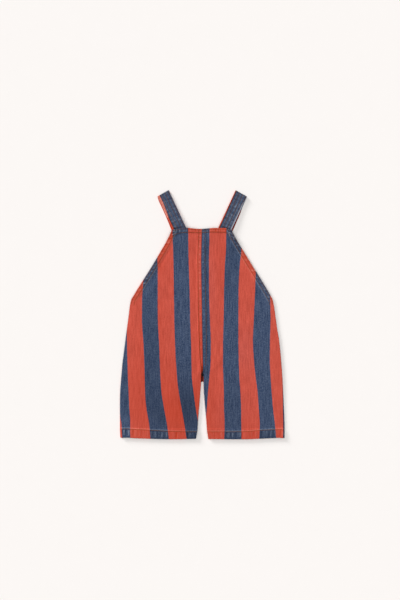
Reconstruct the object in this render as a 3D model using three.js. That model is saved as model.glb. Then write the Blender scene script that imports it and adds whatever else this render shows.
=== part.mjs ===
import * as THREE from "three";

// Kids bib overalls, laid flat on their back. Millimetres.
// +X is the wearer's left seen from the front, +Y runs from the leg hems to the straps, +Z is up.
// Heights called "up" are counted from the leg hems, and "across" from the line x = 0.
// The finished garment is moved at the end, so that the origin is at its bottom centre.

// Cloth
const CLOTH = 1.1;
const HEM_WALL = 2.2;
const SEAM_WALL = 1.9;
const SEAM_GAP = 0.3;

// Garment
const BIB_UP = 441;
const BACK_BIB_DROP = 12;
const ARMHOLE_FOOT_UP = 289;
const FRONT_CROTCH_UP = 134;
const BACK_CROTCH_UP = 121;
const LEG_HEM_DEPTH = 17.5;
const TOP_HEM_DEPTH = 9;
const ARMHOLE_HEM_DEPTH = 9;
const CENTRE_BAND = 8;
const HEM_STEP = 1.6;
const BACK_INSET = 1.5;

// How the two layers lie on each other
const RIM_LIFT = 0.9;
const RIM_REACH = 7;
const ROLL_REACH = 13;
const OPEN_REACH = 34;
const OPEN_SHARE = 0.25;
const PUFF = 2.3;
const EDGE_ROUND = 0.45;
const EDGE_ROUND_REACH = 1.2;

// Shoulder straps
const STRAP_WIDTH = 27;
const STRAP_WALL = 1.8;
const STRAP_FOLD_RADIUS = 1.4;
const STRAP_FOLD_SKEW = 0.078;
const STRAP_SKEW_REACH = 18;
const STRAP_VISIBLE = 81;
const FRONT_FOOT = 14;
const BACK_FOOT = 16;
const STRAP_EDGE_ROUND = 0.7;
const STRAP_SIDE_HALF = 0.35;

// Sides of the garment: left and right as they lie in the front view
const LEFT = -1;
const RIGHT = 1;

// Outer edge: side seam up to the armhole foot, then the armhole up to the bib's corner
const OUTER_EDGE = [
  { up: 0, left: 172.4, right: 171.6 },
  { up: 19, left: 173.3, right: 172.3 },
  { up: 82, left: 173.2, right: 170.2 },
  { up: 145, left: 169.2, right: 166.6 },
  { up: 208, left: 161.7, right: 160.7 },
  { up: 231, left: 158.7, right: 156.8 },
  { up: 254, left: 155.6, right: 153.7 },
  { up: 282, left: 152.0, right: 149.5 },
  { up: 292, left: 149.9, right: 147.1 },
  { up: 302, left: 144.2, right: 142.2 },
  { up: 331, left: 126.3, right: 125.2 },
  { up: 352, left: 113.1, right: 112.4 },
  { up: 398, left: 86.8, right: 86.0 },
  { up: 420, left: 74.7, right: 73.2 },
  { up: 436, left: 66.9, right: 64.2 },
  { up: 441, left: 64.8, right: 61.2 },
];

// Where the back shows past the front at the sides of the legs
const BACK_PEEK = [
  { up: 0, left: 2.0, right: 3.2 },
  { up: 40, left: 1.0, right: 2.6 },
  { up: 60, left: 0, right: 2.2 },
  { up: 95, left: 0, right: 1.1 },
  { up: 126, left: 0, right: 0 },
  { up: 441, left: 0, right: 0 },
];

// Inner leg edges, with the crotch of each layer at the top of its own leg
const INNER_LEG = [
  { up: 0, left: 13.8, right: 12.2 },
  { up: 19, left: 10.6, right: 9.4 },
  { up: 44, left: 9.0, right: 7.6 },
  { up: 82, left: 5.8, right: 4.2 },
  { up: 100, left: 4.6, right: 3.0 },
  { up: 119, left: 3.1, right: 2.5 },
  { up: 441, left: 3.1, right: 2.5 },
];

const CENTRE_SEAM = [
  { up: 0, x: -0.4 },
  { up: 134, x: -0.4 },
  { up: 148, x: 1.1 },
  { up: 180, x: 0.5 },
  { up: 290, x: -1.3 },
  { up: 371, x: -2.5 },
  { up: 441, x: -1.2 },
];

const LEG_HEM_LINE = [
  { x: -174, up: 4.1 },
  { x: -138, up: 1.9 },
  { x: -58, up: 0.1 },
  { x: -12, up: 1.0 },
  { x: 12, up: 0.5 },
  { x: 89, up: 0 },
  { x: 131, up: 1.7 },
  { x: 174, up: 3.6 },
];

const BIB_TOP_LINE = [
  { x: -66, up: -3.0 },
  { x: -58, up: -0.6 },
  { x: -38, up: 2.6 },
  { x: -5, up: 0.2 },
  { x: 26, up: 2.0 },
  { x: 50, up: 1.8 },
  { x: 58, up: -1.6 },
  { x: 64, up: -4.4 },
];

// The largest folds of the front: soft ridges, or troughs where the height is negative
const FOLDS = [
  { x: -62, up: 78, turn: 8, length: 120, width: 20, height: 1.7 },
  { x: -28, up: 66, turn: 10, length: 84, width: 12, height: -0.9 },
  { x: -128, up: 96, turn: -3, length: 120, width: 18, height: 0.9 },
  { x: 44, up: 84, turn: -3, length: 110, width: 18, height: 1.5 },
  { x: 84, up: 60, turn: 4, length: 90, width: 13, height: -0.8 },
  { x: 126, up: 92, turn: 6, length: 110, width: 17, height: 1.1 },
  { x: -26, up: 158, turn: 42, length: 46, width: 8, height: 1.1 },
  { x: 27, up: 156, turn: -40, length: 48, width: 8, height: 1.0 },
  { x: 104, up: 176, turn: 12, length: 52, width: 12, height: 1.3 },
  { x: 74, up: 205, turn: -8, length: 70, width: 12, height: -0.8 },
  { x: -84, up: 232, turn: 4, length: 130, width: 30, height: 1.2 },
  { x: 78, up: 262, turn: -5, length: 110, width: 28, height: 1.1 },
  { x: -24, up: 300, turn: 2, length: 130, width: 15, height: 0.7 },
  { x: 30, up: 330, turn: -3, length: 110, width: 14, height: 0.8 },
  { x: -106, up: 322, turn: -32, length: 60, width: 9, height: 0.8 },
  { x: 106, up: 318, turn: 33, length: 58, width: 9, height: 0.9 },
];

// Strap places: the middle of the shoulder fold, and the lean from the garment's length
const STRAPS = [
  { name: "strap_left", side: LEFT, x: -82.8, up: 516.1, lean: 24.9 },
  { name: "strap_right", side: RIGHT, x: 81.4, up: 515.9, lean: 24.8 },
];

// How far a strap's back run lies outward of its front run, from the shoulder fold down
const BACK_RUN_DRIFT = [
  { down: 0, left: 0, right: 0 },
  { down: 12, left: 1.5, right: 0.4 },
  { down: 27, left: 1.3, right: 1.0 },
  { down: 40, left: 1.4, right: 2.2 },
  { down: 81, left: 3.2, right: 3.2 },
];

// Distances from the edges at which a panel has its lines of points
const OUTER_INSETS = [0, EDGE_ROUND_REACH, 3.2, 6, ARMHOLE_HEM_DEPTH, ARMHOLE_HEM_DEPTH + HEM_STEP];
const INNER_INSETS = [0, 1.5, 4, CENTRE_BAND, CENTRE_BAND + HEM_STEP];
const LEG_HEM_ROWS = [0, EDGE_ROUND_REACH, 8, LEG_HEM_DEPTH, LEG_HEM_DEPTH + HEM_STEP];
const TOP_HEM_ROWS = [0, EDGE_ROUND_REACH, 4.5, TOP_HEM_DEPTH, TOP_HEM_DEPTH + HEM_STEP];
const FRONT_LAYER = { name: "front", middleColumns: 9, rowPitch: 12.5, crotch: FRONT_CROTCH_UP, notch: 3.5 };
const BACK_LAYER = { name: "back", middleColumns: 5, rowPitch: 18, crotch: BACK_CROTCH_UP, notch: 1.6 };

const DENIM_RED = 0xc95443;
const DENIM_BLUE = 0x45546e;

function clamp01(value) {
  return Math.min(Math.max(value, 0), 1);
}

function smooth(from, to, value) {
  const share = clamp01((value - from) / (to - from));
  return share * share * (3 - 2 * share);
}

function mix(a, b, share) {
  return a + (b - a) * share;
}

// Reads a table between its rows along a smooth line that never overshoots them
function along(table, key, at, column) {
  const last = table.length - 1;
  if (at <= table[0][key]) return table[0][column];
  if (at >= table[last][key]) return table[last][column];
  let row = 0;
  while (table[row + 1][key] < at) row += 1;
  const slope = (index) =>
    (table[index + 1][column] - table[index][column]) / (table[index + 1][key] - table[index][key]);
  const tangent = (index) => {
    if (index === 0) return slope(0);
    if (index === last) return slope(last - 1);
    const before = slope(index - 1);
    const after = slope(index);
    return before * after <= 0 ? 0 : (2 * before * after) / (before + after);
  };
  const span = table[row + 1][key] - table[row][key];
  const t = (at - table[row][key]) / span;
  const start = table[row][column];
  const end = table[row + 1][column];
  const startPull = (t ** 3 - 2 * t ** 2 + t) * span * tangent(row);
  const endPull = (t ** 3 - t ** 2) * span * tangent(row + 1);
  return mix(start, end, 3 * t ** 2 - 2 * t ** 3) + startPull + endPull;
}

function sideName(side) {
  return side === LEFT ? "left" : "right";
}

// Outer edge of a layer, as a distance from x = 0
function outerEdge(side, layer, up) {
  const column = sideName(side);
  const edge = along(OUTER_EDGE, "up", up, column);
  if (layer === FRONT_LAYER) return edge - along(BACK_PEEK, "up", up, column);
  return edge - BACK_INSET * smooth(ARMHOLE_FOOT_UP - 40, ARMHOLE_FOOT_UP, up);
}

// Inner edge of a layer: the centre seam above the crotch, the inner leg below it
function innerEdge(side, layer, up) {
  const seam = side * along(CENTRE_SEAM, "up", up, "x") + SEAM_GAP / 2;
  const leg = along(INNER_LEG, "up", up, sideName(side));
  const below = 1 - smooth(layer.crotch - layer.notch, layer.crotch, up);
  return mix(seam, Math.max(leg, seam), below);
}

function foldHeight(x, y) {
  let height = 0;
  for (const fold of FOLDS) {
    const turn = THREE.MathUtils.degToRad(fold.turn);
    const dx = x - fold.x;
    const dy = y - fold.up;
    const lengthwise = dy * Math.cos(turn) - dx * Math.sin(turn);
    const sideways = dx * Math.cos(turn) + dy * Math.sin(turn);
    const reach = (2 * lengthwise / fold.length) ** 2 + (sideways / fold.width) ** 2;
    height += fold.height * Math.exp(-reach);
  }
  return height;
}

function strapFrame(strap) {
  const lean = THREE.MathUtils.degToRad(strap.lean);
  const down = new THREE.Vector2(-strap.side * Math.sin(lean), -Math.cos(lean));
  const outward = new THREE.Vector2(strap.side * Math.cos(lean), -Math.sin(lean));
  return { down, outward };
}

// How far a point of the front is lifted by the strap feet that are sewn behind the bib
function strapLift(x, y) {
  let lift = 0;
  for (const strap of STRAPS) {
    const { down, outward } = strapFrame(strap);
    const offset = new THREE.Vector2(x - strap.x, y - strap.up);
    const below = offset.dot(down) - STRAP_VISIBLE;
    const sideways = offset.dot(outward);
    const half = STRAP_WIDTH / 2;
    const inwardFade = 1 - smooth(half + 7, half + 27, -sideways);
    const outwardFade = 1 - smooth(half + 11, half + 31, sideways);
    const downFade = 1 - smooth(FRONT_FOOT + 8, FRONT_FOOT + 52, below);
    lift = Math.max(lift, inwardFade * outwardFade * downFade);
  }
  return lift;
}

function hemShare(distance, depth) {
  return clamp01(1 - (distance - depth) / HEM_STEP);
}

function sideJoin(up) {
  return 1 - smooth(ARMHOLE_FOOT_UP - 4, ARMHOLE_FOOT_UP + 16, up);
}

function legJoin(layer, up) {
  return 1 - smooth(layer.crotch - 8, layer.crotch + 12, up);
}

// The doubled wall at turned hems and along the centre seam
function wallAt(layer, place) {
  const legHem = hemShare(place.up, LEG_HEM_DEPTH);
  const topHem = hemShare(BIB_UP - place.up, TOP_HEM_DEPTH);
  const armholeHem = hemShare(place.fromOuter, ARMHOLE_HEM_DEPTH) * (1 - sideJoin(place.up));
  const seamBand = hemShare(place.fromInner, CENTRE_BAND) * (1 - legJoin(layer, place.up));
  const hems = Math.max(legHem, topHem, armholeHem);
  return Math.max(mix(CLOTH, HEM_WALL, hems), mix(CLOTH, SEAM_WALL, seamBand));
}

// The rim of the back turns up a little to meet the front at the side and inner leg seams
function rimLift(layer, place) {
  const side = sideJoin(place.up) * clamp01(1 - place.fromOuter / RIM_REACH) ** 2;
  const leg = legJoin(layer, place.up) * clamp01(1 - place.fromInner / RIM_REACH) ** 2;
  return RIM_LIFT * Math.max(side, leg);
}

// The back's wall under a point of the front, with its doubled hems read a little wider than they are
function backWallUnder(place) {
  const spare = HEM_STEP;
  const legHem = hemShare(place.up - spare, LEG_HEM_DEPTH);
  const topHem = hemShare(BIB_UP - BACK_BIB_DROP - place.up - spare, TOP_HEM_DEPTH);
  const armholeHem = hemShare(place.fromOuter - BACK_INSET - spare, ARMHOLE_HEM_DEPTH);
  const seamBand = hemShare(place.fromInner - spare, CENTRE_BAND) * (1 - legJoin(FRONT_LAYER, place.up));
  const hems = Math.max(legHem, topHem, armholeHem * (1 - sideJoin(place.up)));
  return Math.max(mix(CLOTH, HEM_WALL, hems), mix(CLOTH, SEAM_WALL, seamBand));
}

function openRise(distance) {
  return mix(OPEN_SHARE, 1, smooth(0, OPEN_REACH, distance));
}

function rollRise(distance) {
  const share = clamp01(distance / ROLL_REACH);
  return Math.sqrt(1 - (1 - share) ** 2);
}

// Height of the front's inner face over the surface that the garment lies on
function frontUnderside(place) {
  const sides = sideJoin(place.up);
  const legs = legJoin(FRONT_LAYER, place.up);
  const outer = mix(openRise(place.fromOuter), rollRise(place.fromOuter), sides);
  const inner = mix(1, rollRise(place.fromInner), legs);
  const ends = openRise(place.up) * openRise(BIB_UP - place.up);
  const puff = PUFF + foldHeight(place.x, place.y) - SEAM_GAP;
  const airGap = SEAM_GAP + puff * outer * inner * ends;
  const onBack = rimLift(FRONT_LAYER, place) + backWallUnder(place) + airGap;
  const onStrap = strapFrontZ() + STRAP_WALL + SEAM_GAP;
  return mix(onBack, Math.max(onBack, onStrap), strapLift(place.x, place.y));
}

function roundedEdge(place, wall) {
  const hemmed = clamp01((wall - SEAM_WALL) / (HEM_WALL - SEAM_WALL));
  const fromEdge = Math.min(place.fromOuter, place.up, BIB_UP - place.up);
  return EDGE_ROUND * hemmed * clamp01(1 - fromEdge / EDGE_ROUND_REACH);
}

// Lower and upper face of a layer at one of its places
function layerFaces(layer, place) {
  const wall = wallAt(layer, place);
  const round = roundedEdge(place, wall);
  if (layer === FRONT_LAYER) {
    const lower = frontUnderside(place);
    return { lower: lower + round, upper: lower + wall - round };
  }
  const lower = rimLift(layer, place);
  return { lower, upper: lower + wall - 2 * round };
}

function evenly(from, to, count) {
  return Array.from({ length: count }, (_, index) => mix(from, to, (index + 1) / (count + 1)));
}

function rowHeights(layer) {
  const top = TOP_HEM_ROWS.map((inset) => BIB_UP - inset).reverse();
  const low = LEG_HEM_ROWS.at(-1);
  const crotchRows = [layer.crotch - 5, layer.crotch - layer.notch, layer.crotch];
  const lowerCount = Math.round((crotchRows[0] - low) / layer.rowPitch) - 1;
  const upperCount = Math.round((top[0] - layer.crotch) / layer.rowPitch) - 1;
  return [
    ...LEG_HEM_ROWS,
    ...evenly(low, crotchRows[0], lowerCount),
    ...crotchRows,
    ...evenly(layer.crotch, top[0], upperCount),
    ...top,
  ];
}

// One row of places across a panel, from its inner edge to its outer edge
function rowPlaces(side, layer, up) {
  const inner = innerEdge(side, layer, up);
  const outer = outerEdge(side, layer, up);
  const slope = outerEdge(side, layer, up + 1) - outerEdge(side, layer, up - 1);
  const lean = Math.hypot(1, slope / 2);
  const innerSet = INNER_INSETS.map((inset) => inner + inset);
  const outerSet = OUTER_INSETS.map((inset) => outer - inset * lean).reverse();
  const middle = evenly(innerSet.at(-1), outerSet[0], layer.middleColumns);
  return [...innerSet, ...middle, ...outerSet].map((across) => {
    const x = side * across;
    const hemShift = along(LEG_HEM_LINE, "x", x, "up") * (1 - smooth(25, 80, up));
    const bibShift = along(BIB_TOP_LINE, "x", x, "up");
    const drop = layer === BACK_LAYER ? BACK_BIB_DROP : 0;
    const shortening = layer === BACK_LAYER ? 0.8 * (1 - smooth(25, 80, up)) : 0;
    const y = up + hemShift + shortening + (bibShift - drop) * smooth(330, 425, up);
    return { x, y, up, fromInner: across - inner, fromOuter: (outer - across) / lean };
  });
}

// A closed wall between two grids of points that have the same rows and columns
function closedWall(lowerGrid, upperGrid) {
  const rows = upperGrid.length;
  const columns = upperGrid[0].length;
  const points = [...upperGrid.flat(), ...lowerGrid.flat()];
  const upper = (row, column) => row * columns + column;
  const lower = (row, column) => rows * columns + row * columns + column;
  const triangles = [];
  const quad = (a, b, c, d) => triangles.push(a, b, c, a, c, d);
  for (let row = 0; row + 1 < rows; row += 1) {
    for (let column = 0; column + 1 < columns; column += 1) {
      const nextRow = row + 1;
      const nextColumn = column + 1;
      quad(upper(row, column), upper(row, nextColumn), upper(nextRow, nextColumn), upper(nextRow, column));
      quad(lower(row, column), lower(nextRow, column), lower(nextRow, nextColumn), lower(row, nextColumn));
    }
    const ends = [row, row + 1];
    quad(upper(ends[1], 0), lower(ends[1], 0), lower(ends[0], 0), upper(ends[0], 0));
    const last = columns - 1;
    quad(upper(ends[0], last), lower(ends[0], last), lower(ends[1], last), upper(ends[1], last));
  }
  for (let column = 0; column + 1 < columns; column += 1) {
    const next = column + 1;
    const last = rows - 1;
    quad(upper(0, column), lower(0, column), lower(0, next), upper(0, next));
    quad(upper(last, next), lower(last, next), lower(last, column), upper(last, column));
  }
  return solidGeometry(points, triangles);
}

function signedVolume(points, triangles) {
  let volume = 0;
  for (let index = 0; index < triangles.length; index += 3) {
    const [a, b, c] = [0, 1, 2].map((corner) => points[triangles[index + corner]]);
    volume += a.dot(b.clone().cross(c)) / 6;
  }
  return volume;
}

function solidGeometry(points, triangles) {
  const turned = signedVolume(points, triangles) < 0 ? triangles.toReversed() : triangles;
  const geometry = new THREE.BufferGeometry();
  geometry.setFromPoints(points);
  geometry.setIndex(turned);
  geometry.computeVertexNormals();
  return geometry;
}

function panelGeometry(side, layer) {
  const lowerGrid = [];
  const upperGrid = [];
  for (const up of rowHeights(layer)) {
    const places = rowPlaces(side, layer, up);
    const faces = places.map((place) => layerFaces(layer, place));
    lowerGrid.push(places.map((place, index) => new THREE.Vector3(place.x, place.y, faces[index].lower)));
    upperGrid.push(places.map((place, index) => new THREE.Vector3(place.x, place.y, faces[index].upper)));
  }
  return closedWall(lowerGrid, upperGrid);
}

// Height of the strap's back run where it is sewn on the back bib, and of its front run above that
function strapBackZ() {
  return HEM_WALL + SEAM_GAP;
}

function strapFrontZ() {
  return strapBackZ() + STRAP_WALL + SEAM_GAP;
}

// The middle line of a strap, seen from its side: the back run, the shoulder fold, the front run
function strapPath(strap) {
  const half = STRAP_WALL / 2;
  const lowZ = half;
  const highZ = lowZ + 2 * STRAP_FOLD_RADIUS;
  const backEnd = STRAP_VISIBLE + BACK_BIB_DROP + BACK_FOOT;
  const frontEnd = STRAP_VISIBLE + FRONT_FOOT;
  const foldCentre = half + STRAP_FOLD_RADIUS;
  const path = [];
  for (const share of [0, ...evenly(0, 1, 12)]) {
    const down = mix(backEnd, foldCentre, share);
    const climb = smooth(STRAP_VISIBLE - 16, STRAP_VISIBLE + BACK_BIB_DROP - 5, down);
    const drift = along(BACK_RUN_DRIFT, "down", down, sideName(strap.side));
    path.push({ down, z: lowZ + strapBackZ() * climb, drift });
  }
  for (const turn of [0, ...evenly(0, Math.PI, 7), Math.PI]) {
    const down = foldCentre - STRAP_FOLD_RADIUS * Math.sin(turn);
    const z = lowZ + STRAP_FOLD_RADIUS * (1 - Math.cos(turn));
    path.push({ down, z, drift: 0 });
  }
  for (const share of [...evenly(0, 1, 12), 1]) {
    const down = mix(foldCentre, frontEnd, share);
    const climb = smooth(STRAP_VISIBLE - 56, STRAP_VISIBLE - 4, down);
    path.push({ down, z: mix(highZ, strapFrontZ() + half, climb), drift: 0 });
  }
  return path;
}

// A strap's section: across its width and through its wall, with eased edges
function strapSection() {
  const half = STRAP_WIDTH / 2;
  const flat = half - STRAP_EDGE_ROUND;
  const wall = STRAP_WALL / 2;
  const upper = [flat, flat / 3, -flat / 3, -flat].map((across) => ({ across, through: wall }));
  const lower = upper.map(({ across, through }) => ({ across: -across, through: -through }));
  const rightSide = [
    { across: half, through: -STRAP_SIDE_HALF },
    { across: half, through: STRAP_SIDE_HALF },
  ];
  const leftSide = rightSide.map(({ across, through }) => ({ across: -across, through: -through }));
  return [...rightSide, ...upper, ...leftSide, ...lower];
}

function strapGeometry(strap) {
  const { down, outward } = strapFrame(strap);
  const path = strapPath(strap);
  const section = strapSection();
  const points = [];
  path.forEach((step, index) => {
    const before = path[Math.max(index - 1, 0)];
    const after = path[Math.min(index + 1, path.length - 1)];
    const tangent = new THREE.Vector2(after.down - before.down, after.z - before.z).normalize();
    const skew = STRAP_FOLD_SKEW * (1 - smooth(0, STRAP_SKEW_REACH, step.down));
    for (const { across, through } of section) {
      const downwards = step.down - tangent.y * through + skew * across;
      const z = step.z + tangent.x * through;
      const sideways = across + step.drift;
      const x = strap.x + down.x * downwards + outward.x * sideways;
      const y = strap.up + down.y * downwards + outward.y * sideways;
      points.push(new THREE.Vector3(x, y, z));
    }
  });
  const around = section.length;
  const triangles = [];
  for (let ring = 0; ring + 1 < path.length; ring += 1) {
    for (let corner = 0; corner < around; corner += 1) {
      const a = ring * around + corner;
      const b = ring * around + ((corner + 1) % around);
      triangles.push(a, b, b + around, a, b + around, a + around);
    }
  }
  const lastRing = (path.length - 1) * around;
  for (let corner = 1; corner + 1 < around; corner += 1) {
    triangles.push(0, corner + 1, corner);
    triangles.push(lastRing, lastRing + corner, lastRing + corner + 1);
  }
  return solidGeometry(points, triangles);
}

function denim(color) {
  return new THREE.MeshStandardMaterial({ color, roughness: 0.9, metalness: 0 });
}

function namedMesh(name, geometry, color) {
  const mesh = new THREE.Mesh(geometry, denim(color));
  mesh.name = name;
  return mesh;
}

const garment = new THREE.Group();
garment.name = "kids_bib_overalls";
for (const side of [LEFT, RIGHT]) {
  for (const layer of [FRONT_LAYER, BACK_LAYER]) {
    const name = `${layer.name}_${sideName(side)}`;
    garment.add(namedMesh(name, panelGeometry(side, layer), DENIM_RED));
  }
}
for (const strap of STRAPS) {
  garment.add(namedMesh(strap.name, strapGeometry(strap), DENIM_BLUE));
}

// The origin is the bottom centre of the laid garment
const extent = new THREE.Box3().setFromObject(garment);
const centre = extent.getCenter(new THREE.Vector3());
garment.position.set(-centre.x, -centre.y, -extent.min.z);

export default garment;
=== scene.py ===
"""Kids bib overalls in striped denim, laid flat: the cloth, its topstitching and the stage."""

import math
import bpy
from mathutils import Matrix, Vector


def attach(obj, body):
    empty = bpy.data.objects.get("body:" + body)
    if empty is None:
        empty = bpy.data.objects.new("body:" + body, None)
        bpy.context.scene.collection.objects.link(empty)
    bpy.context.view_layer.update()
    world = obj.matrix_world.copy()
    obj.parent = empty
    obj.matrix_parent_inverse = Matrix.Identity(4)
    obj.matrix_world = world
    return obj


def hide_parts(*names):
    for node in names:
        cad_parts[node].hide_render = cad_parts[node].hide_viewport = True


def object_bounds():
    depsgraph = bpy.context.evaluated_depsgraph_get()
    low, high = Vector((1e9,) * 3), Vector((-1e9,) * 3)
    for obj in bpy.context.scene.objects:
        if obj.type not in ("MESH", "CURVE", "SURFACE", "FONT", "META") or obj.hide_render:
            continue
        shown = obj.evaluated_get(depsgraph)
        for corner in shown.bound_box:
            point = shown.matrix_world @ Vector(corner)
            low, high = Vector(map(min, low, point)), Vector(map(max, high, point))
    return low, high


bl_info = {
    "name": "Kids Bib Overalls",
    "version": (1, 0, 0),
    "blender": (4, 5, 0),
    "location": "View3D > Sidebar > Overalls",
    "description": "Builds laid-flat kids bib overalls in striped denim around their packed solids",
    "category": "Add Mesh",
}

import bpy
import numpy as np
from bpy.props import FloatProperty, FloatVectorProperty, IntProperty, PointerProperty
from bpy.types import Operator, Panel, PropertyGroup

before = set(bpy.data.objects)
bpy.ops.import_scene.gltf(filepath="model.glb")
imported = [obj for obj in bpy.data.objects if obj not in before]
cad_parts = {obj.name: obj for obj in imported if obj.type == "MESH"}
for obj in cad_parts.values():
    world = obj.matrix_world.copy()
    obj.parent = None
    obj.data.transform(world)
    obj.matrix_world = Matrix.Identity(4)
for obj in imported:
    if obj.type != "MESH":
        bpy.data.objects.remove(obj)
CAD_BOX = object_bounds()

# Sizes in the tables are millimetres. Meshes are made in metres.
MM = 0.001
BODY = "root"
LEFT = -1
RIGHT = 1
SIDE_NAMES = {LEFT: "left", RIGHT: "right"}


def table(columns, *rows):
    """Rows of a short table, each with its values under the columns' names."""
    names = columns.split()
    return [dict(zip(names, row)) for row in rows]


# The garment's cut
BIB_UP = 441.0
BACK_BIB_DROP = 12.0
ARMHOLE_FOOT_UP = 289.0
CROTCH_UP = {"front": 134.0, "back": 121.0}
CROTCH_NOTCH = {"front": 3.5, "back": 1.6}
CENTRE_ROW_FOOT = {LEFT: 12, RIGHT: 20}
LEG_HEM_DEPTH = 17.5
TOP_HEM_DEPTH = 9.0
ARMHOLE_HEM_DEPTH = 9.0
CENTRE_BAND = 8.0
HEM_STEP = 1.6
SEAM_GAP = 0.3
BACK_SEAM_GAP = 0.02
BACK_INSET = 1.5
BACK_SHORTER = 0.8

# How the layers lie on each other
RIM_LIFT = 0.9
RIM_REACH = 7.0
ROLL_REACH = 13.0
OPEN_REACH = 34.0
OPEN_SHARE = 0.25

# Shoulder straps
STRAP_WIDTH = 27.0
STRAP_WALL = 1.8
STRAP_FOLD_RADIUS = 1.4
STRAP_FOLD_SKEW = 0.078
STRAP_SKEW_REACH = 18.0
STRAP_VISIBLE = 81.0
FRONT_FOOT = 14.0
BACK_FOOT = 16.0

# How far before the bib's edge each run of a strap starts to rise from the surface, and stops
BACK_CLIMB = (16, 5)
FRONT_CLIMB = (56, 4)

# Heights between which the hem's line fades out and the bib's line sets in
HEM_LINE_FADE = (25, 80)
BIB_LINE_RISE = (330, 425)

OUTER_EDGE = table(
    "up left right",
    (0, 172.4, 172.2),
    (19, 173.3, 172.3),
    (82, 173.2, 170.2),
    (145, 169.2, 166.6),
    (208, 161.7, 160.7),
    (231, 158.7, 156.8),
    (254, 155.6, 153.7),
    (282, 152.0, 149.5),
    (292, 149.9, 147.1),
    (302, 144.2, 142.2),
    (331, 126.3, 125.2),
    (352, 113.1, 112.4),
    (398, 86.8, 86.0),
    (420, 74.7, 73.2),
    (436, 66.9, 64.2),
    (441, 64.8, 61.2),
)
WIDEST_LEFT = max(row["left"] for row in OUTER_EDGE)

BACK_PEEK = table(
    "up left right",
    (0, 2.0, 3.2),
    (40, 1.0, 2.6),
    (60, 0, 2.2),
    (95, 0, 1.1),
    (126, 0, 0),
    (441, 0, 0),
)

INNER_LEG = table(
    "up left right",
    (0, 13.8, 12.2),
    (19, 10.6, 9.4),
    (44, 9.0, 7.6),
    (82, 5.8, 4.2),
    (100, 4.6, 3.0),
    (119, 3.1, 2.5),
    (441, 3.1, 2.5),
)

CENTRE_SEAM = table(
    "up x",
    (0, -0.4),
    (134, -0.4),
    (148, 1.1),
    (180, 0.5),
    (290, -1.3),
    (371, -2.5),
    (441, -1.2),
)

LEG_HEM_LINE = table(
    "x up",
    (-174, 2.5),
    (-161, 3.3),
    (-138, 1.9),
    (-58, 0.1),
    (-12, 1.0),
    (12, 0.5),
    (89, 0),
    (131, 1.7),
    (162, 2.9),
    (174, 1.2),
)

BIB_TOP_LINE = table(
    "x up",
    (-66, -3.0),
    (-58, -0.6),
    (-38, 2.6),
    (-5, 0.2),
    (26, 2.0),
    (50, 1.8),
    (58, -1.6),
    (64, -4.4),
)

# Depth of the hem stitching from the edge, measured across the garment
LEG_STITCH = table(
    "x depth",
    (-174, 19.0),
    (-120, 18.4),
    (-60, 16.4),
    (-12, 14.8),
    (12, 15.2),
    (88, 16.2),
    (130, 17.8),
    (174, 17.5),
)

BIB_STITCH = table(
    "x depth",
    (-63, 17.0),
    (-55, 10.6),
    (-38, 10.0),
    (-5, 7.8),
    (40, 8.8),
    (50, 9.4),
    (61, 20.5),
)

# The largest folds of the front, as in the solids
FOLDS = table(
    "x up turn length width height",
    (-62, 78, 8, 120, 20, 1.7),
    (-28, 66, 10, 84, 12, -0.9),
    (-128, 96, -3, 120, 18, 0.9),
    (44, 84, -3, 110, 18, 1.5),
    (84, 60, 4, 90, 13, -0.8),
    (126, 92, 6, 110, 17, 1.1),
    (-26, 158, 42, 46, 8, 1.1),
    (27, 156, -40, 48, 8, 1.0),
    (104, 176, 12, 52, 12, 1.3),
    (74, 205, -8, 70, 12, -0.8),
    (-84, 232, 4, 130, 30, 1.2),
    (78, 262, -5, 110, 28, 1.1),
    (-24, 300, 2, 130, 15, 0.7),
    (30, 330, -3, 110, 14, 0.8),
    (-106, 322, -32, 60, 9, 0.8),
    (106, 318, 33, 58, 9, 0.9),
)

# Finer creases: ridges, or troughs where the height is negative
CREASES = table(
    "x up turn length width height",
    (-10, 141, 62, 26, 2.6, 0.45),
    (-16, 150, 48, 34, 3.0, -0.4),
    (12, 143, -58, 30, 2.8, 0.5),
    (20, 152, -44, 38, 3.2, -0.4),
    (-20, 112, 14, 56, 4.0, -0.5),
    (19, 108, -12, 60, 3.6, 0.45),
    (-44, 132, 28, 44, 4.2, 0.4),
    (50, 138, -24, 52, 4.6, -0.45),
    (-96, 60, 6, 70, 5.0, -0.5),
    (-148, 74, -4, 60, 4.0, 0.4),
    (66, 98, 5, 64, 4.4, 0.45),
    (108, 64, 7, 58, 4.2, -0.45),
    (150, 70, 3, 66, 4.0, 0.4),
    (116, 158, 22, 42, 4.0, -0.5),
    (128, 190, -14, 48, 4.2, 0.4),
    (-118, 186, 10, 62, 5.0, 0.35),
    (-52, 214, -6, 80, 5.0, -0.35),
    (-134, 250, -12, 50, 4.0, -0.4),
    (50, 236, 8, 74, 4.8, 0.35),
    (132, 262, 14, 52, 4.2, -0.4),
    (-92, 296, -24, 46, 4.2, 0.4),
    (96, 290, 26, 44, 4.0, -0.4),
    (-40, 352, -5, 66, 4.4, 0.35),
    (44, 376, 6, 60, 4.2, -0.35),
    (-66, 392, -28, 36, 3.6, 0.4),
    (62, 398, 25, 34, 3.4, 0.4),
    (-20, 412, 74, 30, 3.4, -0.3),
    (22, 408, -70, 32, 3.4, -0.3),
)

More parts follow.
